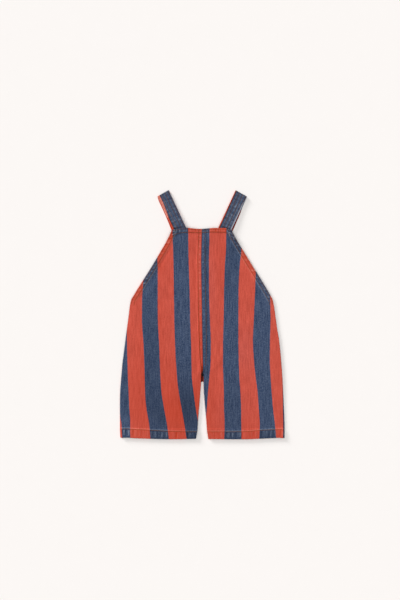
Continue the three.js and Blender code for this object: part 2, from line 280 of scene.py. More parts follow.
# Across places at which the colour of a front changes, outermost first
LEFT_STRIPES = table(
    "up a b c d e",
    (0, -151.8, -109.2, -70.3, -33.4, -3.0),
    (30, -151.8, -111.9, -74.3, -37.8, -8.0),
    (64, -153.4, -117.6, -80.4, -43.7, -14.1),
    (98, -155.0, -120.5, -85.9, -49.6, -18.6),
    (131, -156.5, -121.2, -88.2, -53.5, -22.4),
    (198, -158.3, -123.7, -90.9, -57.5, -23.8),
    (253, -159.3, -127.0, -93.6, -59.2, -25.8),
    (289, -160.0, -126.8, -93.9, -59.7, -26.4),
    (343, -160.0, -124.0, -93.8, -60.5, -28.0),
    (396, -160.0, -124.0, -95.0, -61.6, -29.5),
    (441, -160.0, -124.0, -96.0, -63.2, -29.9),
)

RIGHT_STRIPES = table(
    "up a b c d e",
    (0, 4.0, 45.4, 81.8, 119.0, 154.6),
    (30, 6.2, 46.4, 81.4, 120.0, 151.8),
    (64, 9.2, 45.0, 81.0, 118.0, 147.8),
    (98, 11.4, 44.8, 79.4, 115.6, 145.1),
    (131, 14.5, 43.5, 77.2, 111.4, 142.8),
    (165, 17.2, 42.8, 76.0, 107.9, 141.2),
    (205, 17.5, 43.0, 75.3, 105.6, 141.6),
    (253, 15.6, 44.4, 75.3, 107.6, 142.7),
    (316, 13.8, 45.3, 75.7, 110.4, 141.8),
    (371, 13.5, 47.3, 78.5, 112.0, 141.8),
    (396, 14.1, 49.2, 81.4, 113.0, 142.0),
    (441, 14.9, 49.8, 83.0, 114.0, 142.0),
)
STRIPE_COLUMNS = ("a", "b", "c", "d", "e")
STRIPE_WIDTH = 32.0

# Width of a front's first stripe, which ends just inside the left leg's outer edge at the hem
OUTERMOST_STRIPE = table(
    "up left right",
    (0, 16.6, STRIPE_WIDTH),
    (23, 17.8, STRIPE_WIDTH),
    (45, 20.6, STRIPE_WIDTH),
    (65, STRIPE_WIDTH, STRIPE_WIDTH),
)
BACK_STRIPE_START = {LEFT: 8.0, RIGHT: 16.0}

# Stripe count in the middle of a red stripe
MID_RED = -0.5

# Soft patches of painted shade, mostly the shade of the folds, and of painted light where the shade is
# negative; some are the cloth's own wear and uneven tone
SHADES = table(
    "x up across along shade",
    (-24, 40, 42, 80, 0.33),
    (-70, 80, 40, 85, 0.26),
    (-130, 95, 50, 85, 0.24),
    (22, 40, 30, 70, 0.10),
    (60, 90, 50, 80, 0.09),
    (96, 48, 45, 60, 0.08),
    (120, 246, 50, 62, -0.42),
    (42, 372, 26, 70, 0.09),
    (-112, 270, 30, 50, 0.06),
    (-90, 368, 12, 24, 0.22),
    (-30, 82, 16, 36, 0.18),
    (-110, 185, 22, 45, 0.14),
    (60, 325, 22, 70, 0.08),
    (9, 325, 12, 90, -0.17),
    (-13, 92, 9, 36, 0.14),
    (59, 434, 4, 6, -0.3),
    (-17, 328, 4, 66, 0.16),
    (-95, 50, 75, 26, 0.10),
    (20, 124, 14, 100, 0.06),
    (88, 30, 18, 16, 0.13),
    (-82, 402, 14, 14, 0.13),
    (-116, 233, 12, 20, 0.08),
    (4, 143, 3.5, 8, 0.35),
    (-98, 240, 16, 40, 0.12),
    (-160, 22, 16, 18, -0.26),
    (120, 6, 60, 13, 0.15),
    (-14, 195, 13, 42, 0.14),
)

# Soft patches in which the red is a little greyer
DULL_PATCHES = table(
    "x up across along share",
    (88, 186, 28, 52, 0.5),
    (20, 330, 11, 70, 0.35),
    (62, 62, 44, 50, 0.5),
)

STRAPS = {
    LEFT: {"x": -82.8, "up": 516.1, "lean": 24.9},
    RIGHT: {"x": 81.4, "up": 515.9, "lean": 24.8},
}
BACK_RUN_DRIFT = table(
    "down left right",
    (0, 0, 0),
    (12, 1.5, 0.4),
    (27, 1.3, 1.0),
    (40, 1.4, 2.2),
    (81, 3.2, 3.2),
)
# Width of the red band at each strap's left edge
STRAP_RED = table(
    "down left right",
    (0, 5.0, 0.9),
    (20, 5.2, 1.2),
    (34, 4.3, 1.4),
    (46, 3.6, 1.6),
    (56, 3.0, 1.9),
    (120, 3.5, 2.2),
)
# Rubbed lines along the straps' faces, placed from the strap's middle towards the right
STRAP_RIDGES = table(
    "side from_middle width share",
    (LEFT, -4.4, 1.7, 0.36),
    (LEFT, 1.4, 1.3, 0.12),
    (LEFT, 7.6, 1.4, 0.16),
    (RIGHT, 0.6, 1.5, 0.30),
    (RIGHT, 5.8, 1.2, 0.26),
    (RIGHT, -7.4, 1.5, 0.14),
)
STRAP_STITCH_ROWS = (-11.0, -4.0, 4.0, 11.0)

# Distances from the edges at which a panel has its lines of points
EDGE_STEPS = (0, 0.25, 0.6, 1.1)
OUTER_INSETS = (
    *EDGE_STEPS, 1.6, 2.1, 2.6, 3.3, 4.3, 5.4, 6.5, 7.3, 7.9, 8.5, 9.1, 9.8, 10.8, 12.3, 14.2
)
INNER_INSETS = (*EDGE_STEPS, 1.8, 2.6, 3.4, 4.2, 5.0, 5.7, 6.3, 6.9, 7.5, 8.1, 8.8, 9.8, 11.2)
LEG_HEM_ROWS = (*EDGE_STEPS, *np.arange(1.8, 24, 0.85))
TOP_HEM_ROWS = (*EDGE_STEPS, *np.arange(1.6, 15, 0.7))
NOTCH_ROWS = 5

# Stitch rows, as distances from the edge they follow
EDGE_ROW = 2.4
ARMHOLE_ROW = 8.5
CENTRE_ROWS = table(
    "up left right",
    (134, 3.2, 5.0),
    (153, 3.9, 5.6),
    (178, 5.8, 7.0),
    (204, 6.4, 7.7),
    (254, 7.3, 8.0),
    (304, 6.9, 7.6),
    (380, 6.8, 7.5),
    (430, 6.2, 6.7),
)
GROOVE_HALF = 0.75
GROOVE_DEPTH = 0.32
BACK_GROOVE_DEPTH = 0.42
STRAP_GROOVE_HALF = 0.7
STRAP_GROOVE_DEPTH = 0.28

# Ripples: the pitches of the waves in one ripple as shares of its own, and their joint height
RIPPLE_WAVES = (0.71, 1.0, 1.43, 2.3)
RIPPLE_HEIGHT = 2.4
HEM_WAVES = table(
    "lean stretch share seed",
    (0.07, 1.0, 0.62, 0),
    (-0.16, 1.45, 0.48, 50),
)
RIPPLE_PITCH = {"leg": 5.6, "bib": 5.2, "armhole": 6.4, "centre": 8.0, "strap": 9.0}
RIPPLE_SEEDS = {LEFT: 11, RIGHT: 12}
RIPPLE_TOP = 1.2
STRAP_RIPPLE = {"height": 0.09, "lean": 2.2, "seed": {LEFT: 60, RIGHT: 61}}
UNEVEN_PITCHES = (13.0, 19.0, 27.0, 38.0, 55.0)
UNEVEN_HEIGHT = 0.16
EDGE_ROUNDNESS = 0.92
BACK_TOP_ROUNDNESS = 1.6

# Shares of the edge rows' grooves, and of the ripples beside the centre seam and past a hem
EDGE_ROW_GROOVE = {"bib": 0.8, "armhole": 0.6}
CENTRE_RIPPLE = {"share": 0.6, "starts": (0.5, 2.5), "ends": (6.0, 12.0)}
PAST_HEM = {"share": 0.35, "rise": 2, "reach": 13}

# How far the strap feet lift the front beyond themselves, from the start to the end of each fade
FOOT_LIFT = {"inward": (7, 27), "outward": (11, 31), "down": (8, 52)}

# How far the cloth is rubbed, by its place and the colour of its stripe
RUBBED = {
    "leg": {"blue": 0.52, "red": 0.24},
    "bib": {"blue": 0.46, "red": 0.42},
    "armhole": {"blue": 0.72, "red": 0.62},
    "ridge": {"blue": 0.40, "red": 0.60},
}
CREST_SHARPNESS = 1.4
LEG_RUBBED_FROM = (2.0, 7.0)

# Rubbed lines: how far they are beyond a stitch row, or where in the hem, and their half width
LEG_RIDGE = {"beyond": 1.7, "half": 0.8}
BIB_RIDGE = {"depth_share": 0.6, "half": 1.2, "share": 0.14}
ARMHOLE_RIDGE = {"beyond": 1.8, "half": 0.9, "share": 0.32}
CENTRE_DASHES = {"from_seam": 3.4, "half": 1.5, "pitch": 7.8, "seed": 71, "share": {LEFT: 0.6, RIGHT: 0.24}}

# How much dye the cloth has kept, by its place and the colour of its stripe
KEPT_DYE = {
    "trough": {"blue": 0.55, "red": 0.5},
    "groove": {"blue": 0.84, "red": 0.86},
    "leg_row": {"blue": 0.22, "red": 0.0},
    "leg": {"blue": 0.12, "red": 0.0},
    "leg_rim": {"blue": 0.16, "red": 0.06},
    "centre": {"blue": 0.10, "red": 0.34},
}
ARMHOLE_KEPT = 0.12
BIB_KEPT = 0.24
CENTRE_KEPT = 0.02
CENTRE_KEPT_UP = (200, 360)
LEG_RIM_UP = (2.0, 6.0)
LIGHTEST = -0.3
DARKEST = 1.3

# Painted shade at the crotch: the dark spot at the fronts' corner, the seam above it and the back below
CROTCH_SPOT = {"x": -0.6, "above": 1.2, "across": 1.15, "along": 1.25, "edge": (1.8, 4.4), "dark": 1.3}
CROTCH_SEAM = {"x": -1.0, "edge": (1.7, 3.6)}
CROTCH_SEAM_SHADE = table("share start end", (1.02, 14, 38), (0.17, 5, 15))
CROTCH_BACK = {"reach": 12.0, "up": (106, 117), "dark": 1.09, "under_front": 0.18, "left_side": 0.11}

# Steps along a strap's straight runs and round its fold, and points across its faces and round its sides
STRAP_STEPS = 76
STRAP_FOLD_STEPS = 19
STRAP_FACE_POINTS = 40
STRAP_SIDE_POINTS = 7

# Wear, kept dye and painted shade on the straps. Near the right strap's fold the outer 4 mm of the inner face
# stay blue
FOLDED_BLUE = {"down": 30, "width": 4}
STRAP_RUBBED = 0.03
STRAP_CREST_RUBBED = 0.16
PALE_BAND = {"share": 2.0, "inside": 2.1, "half": 1.6, "down": (44, 56)}
PALE_BAND_EDGE = {"share": 0.6, "half": 1.4, "back_share": 0.5}
PALE_EDGE = {"share": 1.7, "inside": 1.2, "half": 1.3, "down": (8, 30), "more": 0.6, "more_down": (36, 64)}
RIDGE_PATCHES = {"mean": 0.7, "swing": 0.5, "pitch": 15.0, "seed": 80, "least": 0.15, "most": 1.3}
# Painted shade: the dark rim of the red band, the shadow just above the bib's edge and the shade at the fold
RED_RIM_HALF = 1.3
BIB_SHADE = {"above": 0.6, "half": 2.2}
FOLD_SHADE_HALF = 4.0

# A pale line, a rubbed edge with a painted highlight, covers kept dye and painted shade, and where it is
# strongest the cloth is painted lighter still
PALE_COVERS = 0.7
PALE_LIGHTENS = {"share": 0.22, "from": 0.6}
# Kept dye and painted shade on the straps: the red rim, the bib's edge and the fold are painted shade, as is
# the back run's inner face under the front run
STRAP_DYE_AND_SHADE = {"all": 0.18, "groove": 0.6, "trough": 0.3, "red_rim_shade": 0.66, "bib": 0.5, "fold": 0.3}
STRAP_UNDER_SHADE = {LEFT: 0.62, RIGHT: 0.92}
STRAP_DARKEST = 1.08

# Noise of the denim in the weave's own coordinates: cycles for each metre across and along the yarn
WEAVE_NOISE = table(
    "name across lengthwise detail",
    ("yarn", 1300.0, 160.0, 2.0),
    ("slub", 430.0, 34.0, 2.0),
    ("mottle", 420.0, 330.0, 2.0),
    ("cloud", 42.0, 30.0, 3.0),
    ("fleck", 760.0, 480.0, 1.0),
)
TWILL_PITCH = 0.0011
TWILL_LEAN = 0.62
YARN_PITCH = 0.00062
STRIPE_EDGE = 0.045
MOST_WORN = 0.92

# Points along a stitch row of a panel, and the sides of one stitch
CROSS_ROW_POINTS = 160
LONG_ROW_POINTS = 200
STITCH_SIDES = 6
STITCH_JITTER = 0.12
STRAP_ROW_STEPS = 120
STRAP_ROW_FOLD_STEPS = 25

FLOOR_HALF = 4.0
FLOOR_DROP = 0.0002


def length_setting(name, description, metres):
    return FloatProperty(name=name, description=description, default=metres, unit="LENGTH")


def angle_setting(name, description, radians):
    return FloatProperty(name=name, description=description, default=radians, subtype="ANGLE")


def strength_setting(name, description, amount):
    return FloatProperty(name=name, description=description, default=amount)


def colour_setting(name, description, colour):
    return FloatVectorProperty(name=name, description=description, default=colour, subtype="COLOR")


class OverallsCloth(PropertyGroup):
    """Sizes and colours of the denim."""

    wall: length_setting("Cloth Wall", "Thickness of one layer of denim", 0.0011)
    hem_wall: length_setting("Hem Wall", "Thickness of a turned hem", 0.0022)
    seam_wall: length_setting("Seam Wall", "Thickness beside the centre seam", 0.0019)
    puff: length_setting("Puff", "Air between the front and the back", 0.0023)
    pucker: length_setting("Pucker", "Height of the ripples along the stitched hems", 0.00038)
    row_pitch: length_setting("Row Pitch", "Distance between rows of points", 0.0022)
    columns: IntProperty(name="Columns", description="Lines of points across a panel's middle", default=72)
    red: colour_setting("Red Dye", "Colour of the red stripes", (0.526, 0.070, 0.043))
    blue: colour_setting("Blue Dye", "Colour of the blue stripes", (0.0225, 0.0450, 0.104))
    # Deep Red and Deep Blue are also the colours of the painted shade at the crotch, on the straps and in the
    # darker patches
    deep_red: colour_setting("Deep Red", "Red cloth that has kept its dye", (0.43, 0.030, 0.004))
    deep_blue: colour_setting("Deep Blue", "Blue cloth that has kept its dye", (0.005, 0.010, 0.026))
    worn_red: colour_setting("Worn Red", "Rubbed red cloth", (0.72, 0.26, 0.20))
    dull_red: colour_setting("Dull Red", "Greyer red cloth in the dull patches", (0.44, 0.074, 0.058))
    worn_blue: colour_setting("Worn Blue", "Rubbed blue cloth", (0.30, 0.35, 0.43))


class OverallsThread(PropertyGroup):
    """Topstitching."""

    stitch: length_setting("Stitch", "Length of one stitch", 0.0025)
    pitch: length_setting("Pitch", "Distance from stitch to stitch", 0.0031)
    radius: length_setting("Thread Radius", "Half the thread's thickness", 0.00042)
    colour: colour_setting("Thread", "Colour of the thread", (0.19, 0.074, 0.027))


class OverallsStage(PropertyGroup):
    """Floor, light and camera."""

    camera_height: length_setting("Camera Height", "Height of the camera over the floor", 3.0)
    frame_height: length_setting("Frame Height", "Height of the picture on the floor", 1.26)
    aim_x: length_setting("Aim Across", "Middle of the picture", -0.00475)
    aim_y: length_setting("Aim Along", "Middle of the picture", 0.0309)
    floor: colour_setting("Floor", "Colour of the floor", (0.890, 0.859, 0.840))
    sun: strength_setting("Key Strength", "Strength of the key light", 2.42)
    sun_tilt: angle_setting("Key Tilt", "Tilt of the key light from overhead", 1.251)
    sun_turn: angle_setting("Key Turn", "Compass turn of the key light", 0.816)
    sun_softness: angle_setting("Key Softness", "Angle that the key light fills", 0.29)
    overhead: strength_setting("Overhead Strength", "Strength of the soft light above", 1.741)
    overhead_softness: angle_setting("Overhead Softness", "Angle that the light above fills", 1.2)
    sky: strength_setting("Fill Strength", "Strength of the even light", 0.30)


def smooth(start, end, value):
    share = np.clip((value - start) / (end - start), 0.0, 1.0)
    return share * share * (3.0 - 2.0 * share)


def fade_out(start, end, value):
    return 1 - smooth(start, end, value)


def mix(first, second, share):
    return first + (second - first) * share


def bell(value, width):
    return np.exp(-((value / width) ** 2))


def along(table, key, column, at):
    """Reads a table between its rows along a smooth line that never overshoots them."""
    keys = np.array([row[key] for row in table], float)
    values = np.array([row[column] for row in table], float)
    slopes = np.diff(values) / np.diff(keys)
    before = slopes[:-1]
    after = slopes[1:]
    agree = before * after > 0
    total = np.where(agree, before + after, 1.0)
    middle = np.where(agree, 2.0 * before * after / total, 0.0)
    tangents = np.concatenate([slopes[:1], middle, slopes[-1:]])
    at = np.clip(at, keys[0], keys[-1])
    row = np.clip(np.searchsorted(keys, at, side="right") - 1, 0, len(keys) - 2)
    span = keys[row + 1] - keys[row]
    t = (at - keys[row]) / span
    line = mix(values[row], values[row + 1], 3 * t**2 - 2 * t**3)
    start_pull = (t**3 - 2 * t**2 + t) * span * tangents[row]
    end_pull = (t**3 - t**2) * span * tangents[row + 1]
    return line + start_pull + end_pull


def ripple(position, pitch, seed):
    """Uneven waves along a seam, from about -1 to 1, different for each seed."""
    generator = np.random.default_rng(seed)
    waves = np.zeros_like(position)
    for stretch in RIPPLE_WAVES:
        turn = generator.uniform(0, 2 * math.pi)
        waves = waves + np.sin(2 * math.pi * position / (pitch * stretch) + turn)
    return waves / RIPPLE_HEIGHT


def crossed_ripple(run, depth, pitch, seed):
    """Ripples of a hem: two uneven waves that lean to opposite sides."""
    height = 0
    for wave in HEM_WAVES:
        leaning = run + wave["lean"] * depth
        height = height + wave["share"] * ripple(leaning, pitch * wave["stretch"], seed + wave["seed"])
    return height


def unevenness(x, y, seed):
    """A soft, low unevenness of laid cloth, from about -1 to 1."""
    generator = np.random.default_rng(seed)
    waves = np.zeros_like(x)
    for pitch in UNEVEN_PITCHES:
        heading = generator.uniform(-0.7, 0.7)
        turn = generator.uniform(0, 2 * math.pi)
        distance = x * math.cos(heading) + y * math.sin(heading) * 0.6
        swing = 2.0 * np.sin(2 * math.pi * y / (pitch * 3.1) + turn)
        waves = waves + np.sin(2 * math.pi * (distance + swing) / pitch + turn)
    return waves / 3.2


def fold_height(folds, x, y):
    height = np.zeros_like(x)
    for fold in folds:
        turn = math.radians(fold["turn"])
        dx = x - fold["x"]
        dy = y - fold["up"]
        lengthwise = dy * math.cos(turn) - dx * math.sin(turn)
        sideways = dx * math.cos(turn) + dy * math.sin(turn)
        reach = (2 * lengthwise / fold["length"]) ** 2 + (sideways / fold["width"]) ** 2
        height = height + fold["height"] * np.exp(-reach)
    return height


def outer_edge(side, layer, up):
    column = SIDE_NAMES[side]
    edge = along(OUTER_EDGE, "up", column, up)
    if layer == "front":
        return edge - along(BACK_PEEK, "up", column, up)
    return edge - BACK_INSET * smooth(ARMHOLE_FOOT_UP - 40, ARMHOLE_FOOT_UP, up)


def inner_edge(side, layer, up):
    gap = SEAM_GAP if layer == "front" else BACK_SEAM_GAP
    seam = side * along(CENTRE_SEAM, "up", "x", up) + gap / 2
    leg = along(INNER_LEG, "up", SIDE_NAMES[side], up)
    below = fade_out(CROTCH_UP[layer] - CROTCH_NOTCH[layer], CROTCH_UP[layer], up)
    return mix(seam, np.maximum(leg, seam), below)


def edge_lean(side, layer, up):
    """Length of the outer edge for each millimetre of height."""
    slope = (outer_edge(side, layer, up + 1) - outer_edge(side, layer, up - 1)) / 2
    return np.hypot(1.0, slope)


def place_at(side, layer, up, across):
    """Everything that the shape and the colour need to know about points of a panel."""
    up = np.asarray(up, float)
    across = np.asarray(across, float)
    up, across = np.broadcast_arrays(up, across)
    x = side * across
    hem_line = along(LEG_HEM_LINE, "x", "up", x)
    bib_line = along(BIB_TOP_LINE, "x", "up", x)
    low = fade_out(*HEM_LINE_FADE, up)
    back = layer == "back"
    drop = BACK_BIB_DROP if back else 0.0
    shorter = BACK_SHORTER if back else 0.0
    y = up + (hem_line + shorter) * low + (bib_line - drop) * smooth(*BIB_LINE_RISE, up)
    lean = edge_lean(side, layer, up)
    return {
        "side": side,
        "layer": layer,
        "up": up,
        "x": x,
        "y": y,
        "from_inner": across - inner_edge(side, layer, up),
        "from_outer": (outer_edge(side, layer, up) - across) / lean,
        "from_top": BIB_UP - up,
        "leg_depth": along(LEG_STITCH, "x", "depth", x),
        "bib_depth": along(BIB_STITCH, "x", "depth", x),
        "side_join": fade_out(ARMHOLE_FOOT_UP - 4, ARMHOLE_FOOT_UP + 16, up),
        "leg_join": fade_out(CROTCH_UP[layer] - 8, CROTCH_UP[layer] + 12, up),
        "on_armhole": smooth(ARMHOLE_FOOT_UP - 6, ARMHOLE_FOOT_UP + 8, up),
    }


def centre_row(side, up):
    """Distance of the centre's stitch row from the seam."""
    return along(CENTRE_ROWS, "up", SIDE_NAMES[side], up)


def hem_share(distance, depth):
    return np.clip(1 - (distance - depth) / HEM_STEP, 0.0, 1.0)


def doubled_wall(cloth, hems, band):
    """The wall of one layer, doubled where a hem is turned and thick beside the centre seam."""
    wall = cloth.wall / MM
    return np.maximum(mix(wall, cloth.hem_wall / MM, hems), mix(wall, cloth.seam_wall / MM, band))


def wall_at(cloth, place):
    """The doubled wall at turned hems and along the centre seam."""
    leg_hem = hem_share(place["up"], place["leg_depth"])
    top_hem = hem_share(place["from_top"], place["bib_depth"])
    armhole_hem = hem_share(place["from_outer"], ARMHOLE_HEM_DEPTH) * (1 - place["side_join"])
    band = hem_share(place["from_inner"], CENTRE_BAND) * (1 - place["leg_join"])
    return doubled_wall(cloth, np.maximum(np.maximum(leg_hem, top_hem), armhole_hem), band)


def back_wall_under(cloth, place):
    """The back's wall under the front, with its doubled hems read a little wider than they are."""
    leg_hem = hem_share(place["up"] - HEM_STEP, LEG_HEM_DEPTH + HEM_STEP)
    top_hem = hem_share(place["from_top"] - BACK_BIB_DROP - HEM_STEP, TOP_HEM_DEPTH)
    armhole_hem = hem_share(place["from_outer"] - BACK_INSET - HEM_STEP, ARMHOLE_HEM_DEPTH)
    band = hem_share(place["from_inner"] - HEM_STEP, CENTRE_BAND) * (1 - place["leg_join"])
    hems = np.maximum(np.maximum(leg_hem, top_hem), armhole_hem * (1 - place["side_join"]))
    return doubled_wall(cloth, hems, band)


def rim_lift(place):
    side = place["side_join"] * np.clip(1 - place["from_outer"] / RIM_REACH, 0, 1) ** 2
    leg = place["leg_join"] * np.clip(1 - place["from_inner"] / RIM_REACH, 0, 1) ** 2
    return RIM_LIFT * np.maximum(side, leg)


def open_rise(distance):
    return mix(OPEN_SHARE, 1.0, smooth(0, OPEN_REACH, distance))


def roll_rise(distance):
    share = np.clip(distance / ROLL_REACH, 0, 1)
    return np.sqrt(1 - (1 - share) ** 2)


def strap_axes(side):
    lean = math.radians(STRAPS[side]["lean"])
    down = np.array([-side * math.sin(lean), -math.cos(lean)])
    outward = np.array([side * math.cos(lean), -math.sin(lean)])
    return down, outward


def strap_back_z(cloth):
    return cloth.hem_wall / MM + SEAM_GAP


def strap_front_z(cloth):
    return strap_back_z(cloth) + STRAP_WALL + SEAM_GAP


def fade_past(edge, span, distance):
    """Fades from 1 to 0 over a span that is measured from an edge."""
    return fade_out(edge + span[0], edge + span[1], distance)


def strap_lift(x, y):
    """Where the strap feet sewn behind the bib lift the front, from 0 to 1."""
    lift = np.zeros_like(x)
    half = STRAP_WIDTH / 2
    for side, strap in STRAPS.items():
        down, outward = strap_axes(side)
        dx = x - strap["x"]
        dy = y - strap["up"]
        below = dx * down[0] + dy * down[1] - STRAP_VISIBLE
        sideways = dx * outward[0] + dy * outward[1]
        inward_fade = fade_past(half, FOOT_LIFT["inward"], -sideways)
        outward_fade = fade_past(half, FOOT_LIFT["outward"], sideways)
        down_fade = fade_past(FRONT_FOOT, FOOT_LIFT["down"], below)
        lift = np.maximum(lift, inward_fade * outward_fade * down_fade)
    return lift


def front_underside(cloth, place):
    outer = mix(open_rise(place["from_outer"]), roll_rise(place["from_outer"]), place["side_join"])
    inner = mix(1.0, roll_rise(place["from_inner"]), place["leg_join"])
    ends = open_rise(place["up"]) * open_rise(place["from_top"])
    puff = cloth.puff / MM + fold_height(FOLDS, place["x"], place["y"]) - SEAM_GAP
    on_back = rim_lift(place) + back_wall_under(cloth, place) + SEAM_GAP + puff * outer * inner * ends
    on_strap = strap_front_z(cloth) + STRAP_WALL + SEAM_GAP
    return mix(on_back, np.maximum(on_back, on_strap), strap_lift(place["x"], place["y"]))


def edge_round(place, wall):
    """How far each face pulls in towards the middle of the wall at a panel's edges."""
    radius = wall / 2
    free_edge = np.minimum(np.minimum(place["from_outer"], place["up"]), place["from_top"])
    nearest = np.minimum(free_edge, place["from_inner"])
    reach = np.clip(1 - nearest / radius, 0, 1)
    return EDGE_ROUNDNESS * radius * (1 - np.sqrt(1 - reach**2))


def seam_lines(place):
    """Distance from each stitch row of a panel, with how much of the row is there."""
    on_armhole = smooth(ARMHOLE_FOOT_UP - 12, ARMHOLE_FOOT_UP - 4, place["up"])
    row_foot = CROTCH_UP[place["layer"]] + CENTRE_ROW_FOOT[place["side"]]
    above_crotch = smooth(row_foot - 4, row_foot + 4, place["up"])
    return {
        "leg": (place["up"] - place["leg_depth"], 1.0),
        "bib_edge": (place["from_top"] - EDGE_ROW, EDGE_ROW_GROOVE["bib"]),
        "bib": (place["from_top"] - place["bib_depth"], 1.0),
        "armhole_edge": (place["from_outer"] - EDGE_ROW, EDGE_ROW_GROOVE["armhole"] * on_armhole),
        "armhole": (place["from_outer"] - ARMHOLE_ROW, on_armhole),
        "centre": (place["from_inner"] - centre_row(place["side"], place["up"]), above_crotch),
    }


def groove_at(place):
    """Depth share of the grooves that the stitch rows pull into the cloth."""
    groove = np.zeros_like(place["x"])
    for distance, share in seam_lines(place).values():
        groove = np.maximum(groove, share * bell(distance, GROOVE_HALF))
    return groove


def hem_envelope(distance, depth):
    """Ripples are full inside a hem, die out at its row and go on weakly a little past it."""
    inside = smooth(-0.5, depth * 0.3, distance) * fade_out(depth * 0.8, depth, distance)
    full = depth + PAST_HEM["rise"]
    past = smooth(depth, full, distance) * fade_out(full, depth + PAST_HEM["reach"], distance)
    return inside + PAST_HEM["share"] * past


def pucker_at(place):
    """Ripples of the hems and seams, from about -1 to 1."""
    seed = RIPPLE_SEEDS[place["side"]]
    near_armhole = smooth(ARMHOLE_FOOT_UP - 6, ARMHOLE_FOOT_UP + 12, place["up"])
    along_armhole = place["up"] * 1.16
    leg = crossed_ripple(place["x"], place["up"], RIPPLE_PITCH["leg"], seed)
    top = crossed_ripple(place["x"], place["from_top"], RIPPLE_PITCH["bib"], seed + 10)
    arm = crossed_ripple(along_armhole, place["from_outer"], RIPPLE_PITCH["armhole"], seed + 20)
    seam = crossed_ripple(place["up"], place["from_inner"], RIPPLE_PITCH["centre"], seed + 30)
    band = smooth(*CENTRE_RIPPLE["starts"], place["from_inner"])
    band = band * fade_out(*CENTRE_RIPPLE["ends"], place["from_inner"])
    ripples = leg * hem_envelope(place["up"], place["leg_depth"])
    ripples = ripples + top * hem_envelope(place["from_top"], place["bib_depth"])
    ripples = ripples + arm * hem_envelope(place["from_outer"], ARMHOLE_ROW) * near_armhole
    return ripples + CENTRE_RIPPLE["share"] * seam * band * (1 - place["leg_join"])


def front_relief(cloth, place):
    """Fine form of a front's upper face over its solid, in millimetres."""
    pucker = cloth.pucker / MM * pucker_at(place)
    creases = fold_height(CREASES, place["x"], place["y"])
    soft = UNEVEN_HEIGHT * unevenness(place["x"], place["y"], 5)
    clear = smooth(2, 9, place["from_outer"]) * smooth(0, 6, place["up"])
    return pucker + creases * clear + soft * clear - GROOVE_DEPTH * groove_at(place)


def faces_at(cloth, place):
    """Lower and upper face heights of a panel, in millimetres."""
    wall = wall_at(cloth, place)
    pull = edge_round(place, wall)
    if place["layer"] == "front":
        lower = front_underside(cloth, place)
        return lower + pull, lower + wall - pull + front_relief(cloth, place)
    lower = rim_lift(place)
    return lower + BACK_GROOVE_DEPTH * groove_at(place), lower + wall - BACK_TOP_ROUNDNESS * pull


def stripe_at(place):
    """Stripe count across a panel: the colour changes at each whole number."""
    x = place["x"]
    if place["layer"] == "back":
        return (np.abs(x) - BACK_STRIPE_START[place["side"]]) / STRIPE_WIDTH
    table = LEFT_STRIPES if place["side"] == LEFT else RIGHT_STRIPES
    first = 1 if place["side"] == LEFT else 7
    lines = [along(table, "up", column, place["up"]) for column in STRIPE_COLUMNS]
    outermost = along(OUTERMOST_STRIPE, "up", SIDE_NAMES[place["side"]], place["up"])
    count = first + (x - lines[0]) / outermost
    for index in range(len(lines) - 1):
        share = (x - lines[index]) / (lines[index + 1] - lines[index])
        count = np.where(x >= lines[index], first + index + share, count)
    last = first + len(lines) - 1 + (x - lines[-1]) / STRIPE_WIDTH
    return np.where(x >= lines[-1], last, count)


def hem_bands(place):
    """Shares of the leg hem, the bib hem, the armhole hem and the centre band, from 0 to 1."""
    row = centre_row(place["side"], place["up"])
    return {
        "leg": fade_out(place["leg_depth"] - 1, place["leg_depth"], place["up"]),
        "bib": fade_out(place["bib_depth"] - 1, place["bib_depth"], place["from_top"]),
        "armhole": fade_out(ARMHOLE_ROW - 1, ARMHOLE_ROW, place["from_outer"]) * place["on_armhole"],
        "centre": fade_out(row, row + 1, place["from_inner"]) * (1 - place["leg_join"]),
    }


def in_blue_stripe(place):
    return np.sin(math.pi * stripe_at(place)) > 0


def by_colour(blue, shares):
    """One share in the blue stripes and another in the red ones."""
    return np.where(blue, shares["blue"], shares["red"])


def worn_at(place):
    """Rubbed cloth: crests of the hem ripples, dashes beside the centre seam and ridges beside the rows."""
    bands = hem_bands(place)
    blue = in_blue_stripe(place)
    crest = np.clip(pucker_at(place), 0, RIPPLE_TOP) ** CREST_SHARPNESS
    inside_leg_hem = bands["leg"] * smooth(*LEG_RUBBED_FROM, place["up"])
    hems = by_colour(blue, RUBBED["leg"]) * inside_leg_hem
    hems = hems + by_colour(blue, RUBBED["bib"]) * bands["bib"]
    hems = hems + by_colour(blue, RUBBED["armhole"]) * bands["armhole"]
    dash = np.clip(ripple(place["up"], CENTRE_DASHES["pitch"], CENTRE_DASHES["seed"]), 0, 1)
    dash_line = bell(place["from_inner"] - CENTRE_DASHES["from_seam"], CENTRE_DASHES["half"])
    dashes = CENTRE_DASHES["share"][place["side"]] * dash * dash_line * (1 - place["leg_join"])
    past_leg_row = place["up"] - place["leg_depth"]
    leg_ridge = by_colour(blue, RUBBED["ridge"]) * bell(past_leg_row - LEG_RIDGE["beyond"], LEG_RIDGE["half"])
    in_bib_hem = place["from_top"] - BIB_RIDGE["depth_share"] * place["bib_depth"]
    bib_ridge = BIB_RIDGE["share"] * bell(in_bib_hem, BIB_RIDGE["half"])
    past_armhole_row = place["from_outer"] - ARMHOLE_ROW - ARMHOLE_RIDGE["beyond"]
    arm_ridge = ARMHOLE_RIDGE["share"] * bell(past_armhole_row, ARMHOLE_RIDGE["half"]) * place["on_armhole"]
    return np.clip(crest * hems + dashes + leg_ridge + bib_ridge + arm_ridge, 0, 1)


def patches_at(patches, column, place):
    """Sum of soft oval patches."""
    total = np.zeros_like(place["x"])
    for patch in patches:
        reach = ((place["x"] - patch["x"]) / patch["across"]) ** 2
        reach = reach + ((place["y"] - patch["up"]) / patch["along"]) ** 2
        total = total + patch[column] * np.exp(-reach)
    return total


